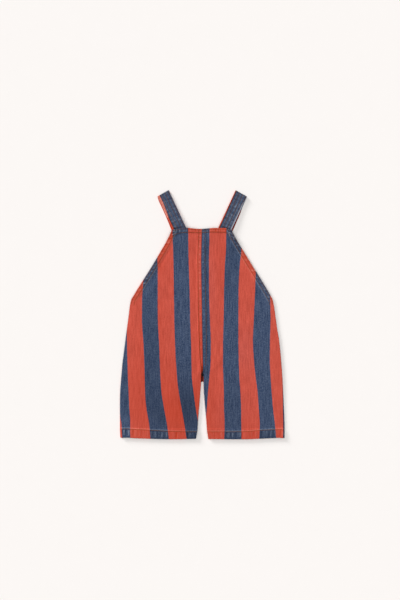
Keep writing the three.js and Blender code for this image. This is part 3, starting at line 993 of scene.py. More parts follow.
def crotch_painted_shade(place):
    """Painted shade at the crotch: the fronts' corner with the seam above it, and the back in the notch, with
    painted shadow under the fronts' edge and on its left.
    """
    corner = CROTCH_UP["front"]
    if place["layer"] == "back":
        under_front = CROTCH_BACK["under_front"] * smooth(corner - 2.8, corner - 0.6, place["up"])
        left_side = CROTCH_BACK["left_side"] * smooth(-1.2, 0.2, -place["x"])
        seen = bell(place["from_inner"], CROTCH_BACK["reach"]) * smooth(*CROTCH_BACK["up"], place["up"])
        return seen * (CROTCH_BACK["dark"] + under_front + left_side)
    across = (place["x"] - CROTCH_SPOT["x"]) / CROTCH_SPOT["across"]
    lengthwise = (place["y"] - corner - CROTCH_SPOT["above"]) / CROTCH_SPOT["along"]
    spot = CROTCH_SPOT["dark"] * fade_out(*CROTCH_SPOT["edge"], np.hypot(across, lengthwise))
    above = 0
    for row in CROTCH_SEAM_SHADE:
        above = above + row["share"] * fade_out(corner + row["start"], corner + row["end"], place["up"])
    beside = fade_out(*CROTCH_SEAM["edge"], np.abs(place["x"] - CROTCH_SEAM["x"]))
    return np.maximum(spot, above * beside)


def dye_and_shade_at(place):
    """Kept dye and painted shade: kept dye in the grooves, troughs and hem bands, painted shade at the crotch
    and in the darker patches, and painted light in the lighter ones.
    """
    bands = hem_bands(place)
    blue = in_blue_stripe(place)
    kept = {name: by_colour(blue, shares) for name, shares in KEPT_DYE.items()}
    troughs = kept["trough"] * np.clip(-pucker_at(place), 0, RIPPLE_TOP)
    troughs = troughs * np.maximum(bands["leg"], np.maximum(bands["bib"], bands["armhole"]))
    leg_row = bell(place["up"] - place["leg_depth"], GROOVE_HALF)
    groove = kept["groove"] * groove_at(place) + kept["leg_row"] * leg_row
    centre = CENTRE_KEPT + kept["centre"] * fade_out(*CENTRE_KEPT_UP, place["up"])
    band = ARMHOLE_KEPT * bands["armhole"] + BIB_KEPT * bands["bib"] + centre * bands["centre"]
    band = band + kept["leg"] * bands["leg"]
    rim = kept["leg_rim"] * bands["leg"] * fade_out(*LEG_RIM_UP, place["up"])
    # The patches add painted shade, and painted light where they are negative; the crotch adds painted shade
    total = np.maximum(groove, troughs) + band + rim + patches_at(SHADES, "shade", place)
    return np.clip(np.maximum(total, crotch_painted_shade(place)), LIGHTEST, DARKEST)


def to_row_frame(points):
    """From the cut's millimetres to the row frame's metres."""
    shift = np.array([CAD_BOX[0][0] + WIDEST_LEFT * MM, CAD_BOX[0][1], 0.0])
    return np.asarray(points) * MM + shift


def closed_wall(upper, lower):
    """Points and quads of a closed wall between two grids with the same rows and columns."""
    rows, columns = upper.shape[:2]
    points = np.concatenate([upper.reshape(-1, 3), lower.reshape(-1, 3)])
    index = np.arange(rows * columns).reshape(rows, columns)
    other = index + rows * columns
    top = np.stack([index[:-1, :-1], index[:-1, 1:], index[1:, 1:], index[1:, :-1]], -1)
    bottom = np.stack([other[:-1, :-1], other[1:, :-1], other[1:, 1:], other[:-1, 1:]], -1)
    rims = []
    loops = [
        (index[0, :], other[0, :]),
        (index[:, -1], other[:, -1]),
        (index[-1, ::-1], other[-1, ::-1]),
        (index[::-1, 0], other[::-1, 0]),
    ]
    for above, below in loops:
        rims.append(np.stack([above[:-1], below[:-1], below[1:], above[1:]], -1))
    quads = np.concatenate([top.reshape(-1, 4), bottom.reshape(-1, 4), *rims])
    return points, quads


def mesh_object(name, points, quads, fields=(), weave=None):
    """A smooth mesh object with a number at each point for each field, and its weave as a UV map."""
    mesh = bpy.data.meshes.new(name)
    mesh.vertices.add(len(points))
    mesh.vertices.foreach_set("co", np.ascontiguousarray(points, dtype=np.float32).ravel())
    corners = quads.shape[1]
    mesh.loops.add(quads.size)
    mesh.loops.foreach_set("vertex_index", np.ascontiguousarray(quads, dtype=np.int32).ravel())
    mesh.polygons.add(len(quads))
    mesh.polygons.foreach_set("loop_start", np.arange(0, quads.size, corners, dtype=np.int32))
    mesh.update(calc_edges=True)
    for field, values in dict(fields).items():
        attribute = mesh.attributes.new(field, "FLOAT", "POINT")
        attribute.data.foreach_set("value", np.ascontiguousarray(values, dtype=np.float32))
    if weave is not None:
        layer = mesh.uv_layers.new(name="weave")
        layer.data.foreach_set("uv", np.ascontiguousarray(weave[quads.ravel()], dtype=np.float32).ravel())
    mesh.polygons.foreach_set("use_smooth", np.ones(len(quads), dtype=bool))
    mesh.validate()
    item = bpy.data.objects.new(name, mesh)
    bpy.context.scene.collection.objects.link(item)
    return item


def facing_out(points, quads):
    """Turns all faces if the closed mesh has them pointing in."""
    a, b, c, d = (points[quads[:, corner]] for corner in range(4))
    volume = np.einsum("ij,ij->", a, np.cross(b, c)) + np.einsum("ij,ij->", a, np.cross(c, d))
    return quads if volume > 0 else quads[:, ::-1]


def panel_rows(cloth):
    """Heights of a panel's rows of points: close at the hems and the crotch notches, even between."""
    low = np.array(LEG_HEM_ROWS)
    top = BIB_UP - np.array(TOP_HEM_ROWS)
    count = int((top.min() - low.max()) / (cloth.row_pitch / MM))
    middle = np.linspace(low.max(), top.min(), count + 1)[1:-1]
    depths = np.linspace(0, 1, NOTCH_ROWS)
    crotches = [CROTCH_UP[layer] - CROTCH_NOTCH[layer] * depths for layer in CROTCH_UP]
    return np.unique(np.concatenate([low, middle, *crotches, top]))


def build_panel(cloth, side, layer):
    """One cloth panel as a closed thin wall with its stripe, wear and weave."""
    up = panel_rows(cloth)[:, None]
    inner = inner_edge(side, layer, up)
    outer = outer_edge(side, layer, up)
    near = inner + np.array(INNER_INSETS)[None, :]
    far = (outer - np.array(OUTER_INSETS)[None, :] * edge_lean(side, layer, up))[:, ::-1]
    steps = np.linspace(0, 1, cloth.columns + 2)[None, 1:-1]
    across = np.concatenate([near, mix(near[:, -1:], far[:, :1], steps), far], axis=1)
    place = place_at(side, layer, up, across)
    lower, upper = (np.stack([place["x"], place["y"], face], -1) for face in faces_at(cloth, place))
    points, quads = closed_wall(upper, lower)
    fields = {
        "stripe": stripe_at(place),
        "worn": worn_at(place),
        "deep": dye_and_shade_at(place),
        "dull": patches_at(DULL_PATCHES, "share", place),
    }
    doubled = {name: np.concatenate([values.ravel()] * 2) for name, values in fields.items()}
    metres = to_row_frame(points)
    name = f"{layer}_{SIDE_NAMES[side]}_cloth"
    item = mesh_object(name, metres, facing_out(metres, quads), doubled, points[:, :2] * MM)
    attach(item, BODY)
    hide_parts(f"{layer}_{SIDE_NAMES[side]}")
    return item


def strap_path(cloth, side, straight_steps, fold_steps):
    """The strap's middle line seen from its side: back run, shoulder fold, front run."""
    half = STRAP_WALL / 2
    fold_centre = half + STRAP_FOLD_RADIUS
    shares = np.linspace(0, 1, straight_steps)
    back_down = mix(STRAP_VISIBLE + BACK_BIB_DROP + BACK_FOOT, fold_centre, shares[:-1])
    back_bib = STRAP_VISIBLE + BACK_BIB_DROP
    climb = smooth(STRAP_VISIBLE - BACK_CLIMB[0], back_bib - BACK_CLIMB[1], back_down)
    back_z = half + strap_back_z(cloth) * climb
    turn = np.linspace(0, math.pi, fold_steps)
    fold_down = fold_centre - STRAP_FOLD_RADIUS * np.sin(turn)
    fold_z = half + STRAP_FOLD_RADIUS * (1 - np.cos(turn))
    front_down = mix(fold_centre, STRAP_VISIBLE + FRONT_FOOT, shares[1:])
    rise = smooth(STRAP_VISIBLE - FRONT_CLIMB[0], STRAP_VISIBLE - FRONT_CLIMB[1], front_down)
    front_z = mix(half + 2 * STRAP_FOLD_RADIUS, strap_front_z(cloth) + half, rise)
    down = np.concatenate([back_down, fold_down, front_down])
    z = np.concatenate([back_z, fold_z, front_z])
    back_drift = along(BACK_RUN_DRIFT, "down", SIDE_NAMES[side], back_down)
    drift = np.concatenate([back_drift, np.zeros(len(turn) + len(front_down))])
    return down, z, drift


def strap_section():
    """Across and through places round a strap's section, starting at its outward edge."""
    half_wall = STRAP_WALL / 2
    turns = np.linspace(-math.pi / 2, math.pi / 2, STRAP_SIDE_POINTS)
    edge = STRAP_WIDTH / 2 - half_wall
    side_across = edge + half_wall * np.cos(turns)
    side_through = half_wall * np.sin(turns)
    face_across = np.linspace(edge, -edge, STRAP_FACE_POINTS)[1:-1]
    face_through = np.full(len(face_across), half_wall)
    across = np.concatenate([side_across, face_across, -side_across, -face_across])
    through = np.concatenate([side_through, face_through, -side_through, -face_through])
    return across, through


def strap_points(side, path, across, through):
    """Points of a strap: one ring of section places for each step of its path."""
    down, z, drift = path
    tangent = np.stack([np.gradient(down), np.gradient(z)], -1)
    tangent = tangent / np.linalg.norm(tangent, axis=1, keepdims=True)
    skew = STRAP_FOLD_SKEW * fade_out(0, STRAP_SKEW_REACH, down)
    downwards = down[:, None] - tangent[:, 1:] * through + skew[:, None] * across
    height = z[:, None] + tangent[:, :1] * through
    sideways = across + drift[:, None]
    axis_down, axis_out = strap_axes(side)
    x = STRAPS[side]["x"] + axis_down[0] * downwards + axis_out[0] * sideways
    y = STRAPS[side]["up"] + axis_down[1] * downwards + axis_out[1] * sideways
    return np.stack([x, y, height], -1)


def run_length(points):
    """Length along a line at each of its points."""
    steps = np.linalg.norm(np.diff(points, axis=0), axis=1)
    return np.concatenate([[0], np.cumsum(steps)])


def strap_groove(across):
    """Depth share of the grooves along a strap's four stitch rows."""
    groove = np.zeros_like(across)
    for row in STRAP_STITCH_ROWS:
        groove = np.maximum(groove, bell(across - row, STRAP_GROOVE_HALF))
    return groove


def strap_place(side, down, run, across, through):
    """Everything that the form and the colour need to know about points of a strap."""
    outer_face = through > STRAP_WALL / 2 - 0.01
    to_right = across if side == RIGHT else -across
    leaning = STRAP_RIPPLE["lean"] * across[None, :]
    return {
        "side": side,
        "down": down[:, None],
        "run": run[:, None],
        "outward": across[None, :],
        "to_right": to_right[None, :],
        "from_left": (STRAP_WIDTH / 2 + to_right)[None, :],
        "red_edge": along(STRAP_RED, "down", SIDE_NAMES[side], down)[:, None],
        "waves": crossed_ripple(run[:, None], leaning, RIPPLE_PITCH["strap"], STRAP_RIPPLE["seed"][side]),
        "groove": strap_groove(across)[None, :] * outer_face,
        "between": np.clip(1 - strap_groove(across), 0, 1)[None, :] * outer_face,
        "back_run": (np.arange(len(down)) < STRAP_STEPS - 1)[:, None],
        "inner_face": through[None, :] < 0,
    }


def strap_stripe(place):
    """Stripe count across a strap: the red band, then blue. The inner face is red."""
    count = (place["from_left"] - place["red_edge"]) / STRIPE_WIDTH
    at_edge = place["outward"] > STRAP_WIDTH / 2 - FOLDED_BLUE["width"]
    stays_blue = (place["side"] == RIGHT) & (place["down"] < FOLDED_BLUE["down"]) & at_edge
    return np.where(place["inner_face"] & ~stays_blue, MID_RED, count)


def strap_rubbed_edge_highlight(place):
    """The pale line in the left strap's red band and the one at the right strap's right edge: rubbed edges
    with a painted highlight.
    """
    down = place["down"]
    from_left = place["from_left"]
    front_run = ~place["back_run"]
    if place["side"] == LEFT:
        fade = fade_out(*PALE_BAND["down"], down)
        from_line = from_left - place["red_edge"] + PALE_BAND["inside"]
        pale = PALE_BAND["share"] * bell(from_line, PALE_BAND["half"])
        pale = pale + PALE_BAND_EDGE["share"] * bell(from_left, PALE_BAND_EDGE["half"])
        return pale * fade * front_run + PALE_BAND_EDGE["back_share"] * fade * place["back_run"]
    stronger = 1.0 + PALE_EDGE["more"] * smooth(*PALE_EDGE["more_down"], down)
    fade = smooth(*PALE_EDGE["down"], down) * stronger
    line = bell(STRAP_WIDTH - from_left - PALE_EDGE["inside"], PALE_EDGE["half"])
    return PALE_EDGE["share"] * line * fade * front_run


def strap_worn(place, rubbed_edge_highlight):
    """Rubbed lines along a strap's face, uneven along their length, its crests and its pale line, a rubbed
    edge with a painted highlight.
    """
    wear = STRAP_RUBBED
    for number, ridge in enumerate(STRAP_RIDGES):
        if ridge["side"] == place["side"]:
            waves = ripple(place["run"], RIDGE_PATCHES["pitch"], RIDGE_PATCHES["seed"] + number)
            patchy = RIDGE_PATCHES["mean"] + RIDGE_PATCHES["swing"] * waves
            patchy = np.clip(patchy, RIDGE_PATCHES["least"], RIDGE_PATCHES["most"])
            line = bell(place["to_right"] - ridge["from_middle"], ridge["width"])
            wear = wear + ridge["share"] * patchy * line
    crests = STRAP_CREST_RUBBED * np.clip(place["waves"], 0, 1) * place["between"]
    return np.clip(wear * place["between"] + rubbed_edge_highlight + crests, 0, 2)


def strap_dye_and_shade(place, rubbed_edge_highlight, points):
    """Kept dye and painted shade on a strap: kept dye in the grooves and troughs; painted shade at the red
    band's rim, at the fold, at the bib's edge and on the back run below the front run.
    """
    front_run = ~place["back_run"]
    troughs = STRAP_DYE_AND_SHADE["trough"] * np.clip(-place["waves"], 0, 1) * place["between"]
    from_rim = place["from_left"] - place["red_edge"]
    red_rim_shade = STRAP_DYE_AND_SHADE["red_rim_shade"] * bell(from_rim, RED_RIM_HALF) * front_run
    deep = STRAP_DYE_AND_SHADE["all"] + STRAP_DYE_AND_SHADE["groove"] * place["groove"] + troughs + red_rim_shade
    strongest = np.clip(rubbed_edge_highlight - PALE_LIGHTENS["from"], 0, 1)
    deep = deep * (1 - PALE_COVERS * np.clip(rubbed_edge_highlight, 0, 1)) - PALE_LIGHTENS["share"] * strongest
    # Painted shade on the back run's inner face under the front run, just above the bib's edge and at the
    # fold
    under = STRAP_UNDER_SHADE[place["side"]] * (place["back_run"] & place["inner_face"])
    bib_edge = BIB_UP + along(BIB_TOP_LINE, "x", "up", points[:, :, 0])
    past_bib = points[:, :, 1] - bib_edge - BIB_SHADE["above"]
    bib_edge_shadow = STRAP_DYE_AND_SHADE["bib"] * bell(past_bib, BIB_SHADE["half"]) * front_run
    fold = STRAP_DYE_AND_SHADE["fold"] * bell(place["down"], FOLD_SHADE_HALF)
    return np.clip(deep + under + bib_edge_shadow + fold, LIGHTEST, STRAP_DARKEST)


def build_strap(cloth, side):
    """One folded strap with its run to the front bib, its shoulder fold and its run to the back."""
    path = strap_path(cloth, side, STRAP_STEPS, STRAP_FOLD_STEPS)
    across, through = strap_section()
    down, z, _ = path
    run = run_length(np.stack([down, z], -1))
    place = strap_place(side, down, run, across, through)
    relief = STRAP_RIPPLE["height"] * place["waves"] * place["between"] - STRAP_GROOVE_DEPTH * place["groove"]
    points = strap_points(side, path, across[None, :], through[None, :] + relief)
    caps, cap_points = strap_caps(points)
    quads = np.concatenate([strap_sides(points), caps])
    metres = to_row_frame(np.concatenate([points.reshape(-1, 3), cap_points]))
    rubbed_edge_highlight = strap_rubbed_edge_highlight(place)
    at_caps = np.zeros(len(cap_points))
    fields = {
        "stripe": np.concatenate([strap_stripe(place).ravel(), at_caps + MID_RED]),
        "worn": np.concatenate([strap_worn(place, rubbed_edge_highlight).ravel(), at_caps]),
        "deep": np.concatenate([strap_dye_and_shade(place, rubbed_edge_highlight, points).ravel(), at_caps]),
        "dull": np.zeros(len(metres)),
    }
    weave = np.stack(np.broadcast_arrays(across[None, :], run[:, None]), -1).reshape(-1, 2) * MM
    weave = np.concatenate([weave, np.zeros((len(cap_points), 2))])
    name = f"strap_{SIDE_NAMES[side]}_cloth"
    item = mesh_object(name, metres, facing_out(metres, quads), fields, weave)
    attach(item, BODY)
    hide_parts(f"strap_{SIDE_NAMES[side]}")
    return item


def strap_sides(points):
    """Quads between the neighbouring rings of a strap."""
    rings, around = points.shape[:2]
    index = np.arange(rings * around).reshape(rings, around)
    after = np.roll(index, -1, axis=1)
    return np.stack([index[:-1], after[:-1], after[1:], index[1:]], -1).reshape(-1, 4)


def strap_caps(points):
    """Closes the strap's two ends with quads round a middle point of each."""
    rings, around = points.shape[:2]
    middle = rings * around
    caps = []
    for ring, centre, order in ((0, middle, 1), (rings - 1, middle + 1, -1)):
        for corner in range(0, around, 2):
            a, b, c = ((corner + step) % around + ring * around for step in range(3))
            caps.append([centre, c, b, a][::order])
    return np.array(caps), np.stack([points[0].mean(axis=0), points[-1].mean(axis=0)])


def panel_line(cloth, side, layer, up, across):
    """Points of a stitch row on a panel's outside."""
    place = place_at(side, layer, up, across)
    lower, upper = faces_at(cloth, place)
    return np.stack([place["x"], place["y"], upper if layer == "front" else lower], -1)


def panel_stitch_lines(cloth, side, layer):
    """The stitch rows of a panel: leg hem, bib hem, armhole hem and centre seam."""

    def inner_at(up):
        return float(inner_edge(side, layer, up))

    def outer_at(up):
        return float(outer_edge(side, layer, up))

    def depth_at(rows, across):
        return along(rows, "x", "depth", side * across)

    def beside_armhole(inset, start, end):
        up = np.linspace(start, end, LONG_ROW_POINTS)
        return up, outer_edge(side, layer, up) - inset * edge_lean(side, layer, up)

    leg = np.linspace(inner_at(LEG_HEM_DEPTH) + 0.8, outer_at(LEG_HEM_DEPTH) - 0.8, CROSS_ROW_POINTS)
    bib_start = inner_at(BIB_UP - TOP_HEM_DEPTH) + 0.2
    bib_corner = outer_at(BIB_UP - EDGE_ROW) - EDGE_ROW
    bib_edge = np.linspace(bib_start, bib_corner, CROSS_ROW_POINTS)
    bib = np.linspace(bib_start, bib_corner + 1.0, CROSS_ROW_POINTS)
    centre = np.linspace(CROTCH_UP[layer] + CENTRE_ROW_FOOT[side], BIB_UP - 2.5, LONG_ROW_POINTS)
    rows = (
        (depth_at(LEG_STITCH, leg), leg),
        (BIB_UP - EDGE_ROW, bib_edge),
        (BIB_UP - depth_at(BIB_STITCH, bib), bib),
        beside_armhole(EDGE_ROW, ARMHOLE_FOOT_UP - 6, BIB_UP - 4),
        beside_armhole(ARMHOLE_ROW, ARMHOLE_FOOT_UP - 8, BIB_UP - 7),
        (centre, inner_edge(side, layer, centre) + centre_row(side, centre)),
    )
    return [panel_line(cloth, side, layer, up, across) for up, across in rows]


def strap_stitch_lines(cloth, side):
    """Four stitch rows on a strap's outer face, all along it."""
    path = strap_path(cloth, side, STRAP_ROW_STEPS, STRAP_ROW_FOLD_STEPS)
    through = np.full(1, STRAP_WALL / 2 - STRAP_GROOVE_DEPTH)
    return [strap_points(side, path, np.full(1, row), through)[:, 0, :] for row in STRAP_STITCH_ROWS]


def stitch_template():
    """One stitch lying along X: rings of points from end to end and its quads."""
    spots = np.array([-1.0, -0.86, -0.45, 0.0, 0.45, 0.86, 1.0])
    girths = np.array([0.35, 0.78, 1.0, 1.0, 1.0, 0.78, 0.35])
    sinks = np.array([-0.95, -0.5, -0.08, 0.0, -0.08, -0.5, -0.95])
    turns = np.arange(STITCH_SIDES) / STITCH_SIDES * 2 * math.pi
    index = np.arange(len(spots) * STITCH_SIDES).reshape(len(spots), STITCH_SIDES)
    after = np.roll(index, -1, axis=1)
    quads = np.stack([index[:-1], index[1:], after[1:], after[:-1]], -1).reshape(-1, 4)
    first = index[0]
    last = index[-1]
    ends = [first[[0, 1, 2, 3]], first[[0, 3, 4, 5]], last[[3, 2, 1, 0]], last[[5, 4, 3, 0]]]
    return spots, girths, sinks, turns, np.concatenate([quads, np.array(ends)])


def stitches_on(thread, line, underside, seed):
    """All stitches of one row as points, quads and a tone for each point."""
    pitch = thread.pitch / MM
    half = thread.stitch / MM / 2
    radius = thread.radius / MM
    run = run_length(line)
    count = int(run[-1] / pitch)
    if count < 1:
        raise RuntimeError("a stitch row is shorter than one stitch")
    centres = (np.arange(count) + 0.5) * run[-1] / count
    generator = np.random.default_rng(seed)
    centres = centres + generator.uniform(-STITCH_JITTER, STITCH_JITTER, count)
    spots, girths, sinks, turns, quads = stitch_template()

    def on_line(distance):
        return np.stack([np.interp(distance, run, line[:, axis]) for axis in range(3)], -1)

    along_spots = centres[:, None] + half * spots[None, :]
    spine = on_line(along_spots)
    heading = on_line(centres + 0.5) - on_line(centres - 0.5)
    heading = heading / np.linalg.norm(heading, axis=1, keepdims=True)
    sideways = np.cross(heading, np.array([0.0, 0.0, 1.0]))
    sideways = sideways / np.linalg.norm(sideways, axis=1, keepdims=True)
    upright = np.cross(sideways, heading)
    lift = -1.0 if underside else 1.0
    rise = lift * (sinks[None, :] + 0.35) * radius
    spine = spine + upright[:, None, :] * rise[:, :, None]
    ring_across = np.cos(turns)[:, None] * sideways[:, None, None, :]
    ring = ring_across + np.sin(turns)[:, None] * upright[:, None, None, :]
    points = spine[:, :, None, :] + ring * (radius * girths)[None, :, None, None]
    tone = generator.uniform(0, 1, count)[:, None, None] * np.ones(points.shape[:3])
    per_stitch = len(spots) * len(turns)
    all_quads = (quads[None, :, :] + (np.arange(count) * per_stitch)[:, None, None]).reshape(-1, 4)
    return points.reshape(-1, 3), all_quads, tone.ravel()


def build_stitching(thread, name, lines, underside, seed):
    """One joined mesh of all the stitches of a group of rows."""
    parts = [stitches_on(thread, line, underside, seed + number) for number, line in enumerate(lines)]
    offset = 0
    quads = []
    for points, faces, _ in parts:
        quads.append(faces + offset)
        offset += len(points)
    points = to_row_frame(np.concatenate([part[0] for part in parts]))
    tones = np.concatenate([part[2] for part in parts])
    item = mesh_object(name, points, np.concatenate(quads), {"tone": tones})
    item.data.materials.append(shared("topstitch_thread", thread_material, thread))
    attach(item, BODY)
    return item


class Nodes:
    """Short calls for the nodes of one material."""

    def __init__(self, name):
        self.material = bpy.data.materials.new(name)
        self.material.use_nodes = True
        self.tree = self.material.node_tree
        self.shader = self.tree.nodes["Principled BSDF"]

    def add(self, kind, **settings):
        node = self.tree.nodes.new(kind)
        for key, value in settings.items():
            setattr(node, key, value)
        return node

    def link(self, source, target):
        self.tree.links.new(source, target)

    def math(self, operation, first, second=None, third=None):
        node = self.add("ShaderNodeMath", operation=operation)
        for slot, value in enumerate((first, second, third)):
            if value is None:
                continue
            if isinstance(value, (int, float)):
                node.inputs[slot].default_value = value
            else:
                self.link(value, node.inputs[slot])
        return node.outputs[0]

    def field(self, name):
        return self.add("ShaderNodeAttribute", attribute_name=name).outputs["Fac"]

    def remap(self, value, low, high, start, end, kind="LINEAR"):
        node = self.add("ShaderNodeMapRange", interpolation_type=kind)
        self.link(value, node.inputs["Value"])
        for socket, number in zip(("From Min", "From Max", "To Min", "To Max"), (low, high, start, end)):
            node.inputs[socket].default_value = number
        return node.outputs["Result"]

    def blend(self, share, first, second):
        node = self.add("ShaderNodeMix", data_type="RGBA")
        self.link(share, node.inputs["Factor"])
        for socket, value in ((6, first), (7, second)):
            if isinstance(value, tuple):
                node.inputs[socket].default_value = value
            else:
                self.link(value, node.inputs[socket])
        return node.outputs[2]

    def scaled(self, colour, factor):
        node = self.add("ShaderNodeVectorMath", operation="SCALE")
        self.link(colour, node.inputs[0])
        self.link(factor, node.inputs["Scale"])
        return node.outputs[0]

    def toned(self, colour, tone):
        """One base colour, lighter and darker by a tone."""
        node = self.add("ShaderNodeRGB")
        node.outputs[0].default_value = opaque(colour)
        self.link(self.scaled(node.outputs[0], tone), self.shader.inputs["Base Color"])

    def between(self, share, first, second):
        node = self.add("ShaderNodeMix", data_type="FLOAT")
        self.link(share, node.inputs["Factor"])
        self.link(first, node.inputs["A"])
        self.link(second, node.inputs["B"])
        return node.outputs["Result"]

    def mean(self, weighted):
        total = None
        for value, weight in weighted:
            part = self.math("MULTIPLY", value, weight)
            total = part if total is None else self.math("ADD", total, part)
        return total

    def stretched(self, coordinates, across, lengthwise):
        node = self.add("ShaderNodeMapping")
        self.link(coordinates, node.inputs["Vector"])
        node.inputs["Scale"].default_value = (across, lengthwise, 1.0)
        return node.outputs["Vector"]

    def noise(self, coordinates, scale, detail):
        node = self.add("ShaderNodeTexNoise")
        self.link(coordinates, node.inputs["Vector"])
        node.inputs["Scale"].default_value = scale
        node.inputs["Detail"].default_value = detail
        return node.outputs["Fac"]


def opaque(colour):
    return (*colour, 1.0)


def shared(name, build, settings):
    """The material of that name, which is built when it is first asked for."""
    return bpy.data.materials.get(name) or build(settings, name)


def by_stripe(nodes, blue, in_red, in_blue):
    """One number in the red stripes and another in the blue ones."""
    return nodes.remap(blue, 0.0, 1.0, in_red, in_blue)


def washed_colour(nodes, cloth, blue, streaks, noise):
    """Dye with its yarn streaks, the white weft that shows through it and the rubbed cloth."""
    red = nodes.blend(nodes.field("dull"), opaque(cloth.red), opaque(cloth.dull_red))
    dye = nodes.blend(blue, red, opaque(cloth.blue))
    rubbed = nodes.blend(blue, opaque(cloth.worn_red), opaque(cloth.worn_blue))
    uneven = nodes.math("SUBTRACT", streaks, 0.5)
    swing = by_stripe(nodes, blue, 1.15, 1.73)
    streak_tone = nodes.math("ADD", nodes.math("MULTIPLY", uneven, swing), 1.0)
    cloud_tone = nodes.remap(noise["cloud"], 0.3, 0.7, 0.96, 1.04)
    toned = nodes.scaled(dye, nodes.math("MULTIPLY", streak_tone, cloud_tone))

    weft_streaks = nodes.remap(streaks, 0.41, 0.63, 0.0, 0.16)
    weft = nodes.math("ADD", weft_streaks, nodes.remap(noise["fleck"], 0.58, 0.74, 0.0, 0.22))
    weft = nodes.math("MULTIPLY", weft, by_stripe(nodes, blue, 0.46, 1.0))
    patchy = nodes.remap(noise["mottle"], 0.34, 0.6, 0.5, 1.15)
    worn = nodes.math("MULTIPLY", nodes.field("worn"), patchy)
    worn = nodes.math("MULTIPLY", worn, by_stripe(nodes, blue, 0.75, 1.0))
    share = nodes.math("MINIMUM", nodes.math("ADD", worn, weft), MOST_WORN)
    return nodes.blend(share, toned, rubbed)


def with_dye_and_painted_shade(nodes, cloth, blue, washed):
    """The washed colour with its kept dye and painted shade, its lighter patches of painted light and wear,
    and the painted shadow of the dark hollows.
    """
    deep = nodes.field("deep")
    dye_and_shade_colour = nodes.blend(blue, opaque(cloth.deep_red), opaque(cloth.deep_blue))
    dye_and_shade_share = nodes.math("MULTIPLY", nodes.math("MAXIMUM", deep, 0.0), by_stripe(nodes, blue, 1.0, 0.9))
    kept = nodes.blend(nodes.math("MINIMUM", dye_and_shade_share, 1.0), washed, dye_and_shade_colour)
    # Painted light where the number is negative, and painted shadow down to near black above 0.85
    lighter = nodes.math("MULTIPLY", nodes.math("MINIMUM", deep, 0.0), -0.85)
    painted_shadow = nodes.remap(deep, 0.85, 1.25, 1.0, 0.04)
    return nodes.scaled(kept, nodes.math("MULTIPLY", nodes.math("ADD", lighter, 1.0), painted_shadow))


def weave_bump(nodes, weave, streaks):
    """Twill lines, single yarns and streaks as a low bump."""
    split = nodes.add("ShaderNodeSeparateXYZ")
    nodes.link(weave, split.inputs[0])
    leaning = nodes.math("MULTIPLY", split.outputs["Y"], TWILL_LEAN)
    twill_run = nodes.math("ADD", split.outputs["X"], leaning)
    twill = nodes.math("SINE", nodes.math("MULTIPLY", twill_run, 2 * math.pi / TWILL_PITCH))
    yarns = nodes.math("SINE", nodes.math("MULTIPLY", split.outputs["X"], 2 * math.pi / YARN_PITCH))
    surface = nodes.mean(((twill, 0.3), (yarns, 0.15), (streaks, 1.6)))
    bump = nodes.add("ShaderNodeBump")
    bump.inputs["Strength"].default_value = 0.5
    bump.inputs["Distance"].default_value = 0.00022
    nodes.link(surface, bump.inputs["Height"])
    return bump.outputs["Normal"]


def denim_material(cloth, name):
    """Washed two-colour striped denim with wear and kept dye."""
    nodes = Nodes(name)
    weave = nodes.add("ShaderNodeUVMap", uv_map="weave").outputs["UV"]
    noise = {}
    for row in WEAVE_NOISE:
        stretched = nodes.stretched(weave, row["across"], row["lengthwise"])
        noise[row["name"]] = nodes.noise(stretched, 1.0, row["detail"])
    jitter = nodes.math("MULTIPLY", nodes.math("SUBTRACT", noise["yarn"], 0.5), 0.05)
    stripe = nodes.math("ADD", nodes.field("stripe"), jitter)
    wave = nodes.math("SINE", nodes.math("MULTIPLY", stripe, math.pi))
    blue = nodes.remap(wave, -STRIPE_EDGE, STRIPE_EDGE, 0.0, 1.0, "SMOOTHSTEP")
    coarse = nodes.between(by_stripe(nodes, blue, 0.3, 0.5), noise["slub"], noise["mottle"])
    streaks = nodes.mean(((noise["yarn"], 0.22), (coarse, 0.78)))
    washed = washed_colour(nodes, cloth, blue, streaks, noise)
    shader = nodes.shader.inputs
    nodes.link(with_dye_and_painted_shade(nodes, cloth, blue, washed), shader["Base Color"])
    nodes.link(nodes.remap(streaks, 0.3, 0.7, 0.95, 0.84), shader["Roughness"])
    shader["Specular IOR Level"].default_value = 0.18
    shader["Sheen Weight"].default_value = 0.06
    shader["Sheen Roughness"].default_value = 0.55
    nodes.link(weave_bump(nodes, weave, streaks), shader["Normal"])
    return nodes.material


def thread_material(thread, name):
    """Rust brown cotton thread, each stitch in its own tone."""
    nodes = Nodes(name)
    nodes.toned(thread.colour, nodes.remap(nodes.field("tone"), 0.0, 1.0, 0.7, 1.35))
    nodes.shader.inputs["Roughness"].default_value = 0.75
    nodes.shader.inputs["Specular IOR Level"].default_value = 0.2
    nodes.shader.inputs["Sheen Weight"].default_value = 0.04
    return nodes.material


def floor_material(stage, name):
    nodes = Nodes(name)
    grain = nodes.noise(nodes.add("ShaderNodeTexCoord").outputs["Object"], 30.0, 2.0)
    nodes.toned(stage.floor, nodes.remap(grain, 0.0, 1.0, 0.995, 1.005))
    nodes.shader.inputs["Roughness"].default_value = 1.0
    nodes.shader.inputs["Specular IOR Level"].default_value = 0.0
    return nodes.material


def add_light(name, strength, softness, turn):
    light = bpy.data.objects.new(name, bpy.data.lights.new(name, "SUN"))
    light.data.energy = strength
    light.data.angle = softness
    light.rotation_euler = turn
    bpy.context.scene.collection.objects.link(light)


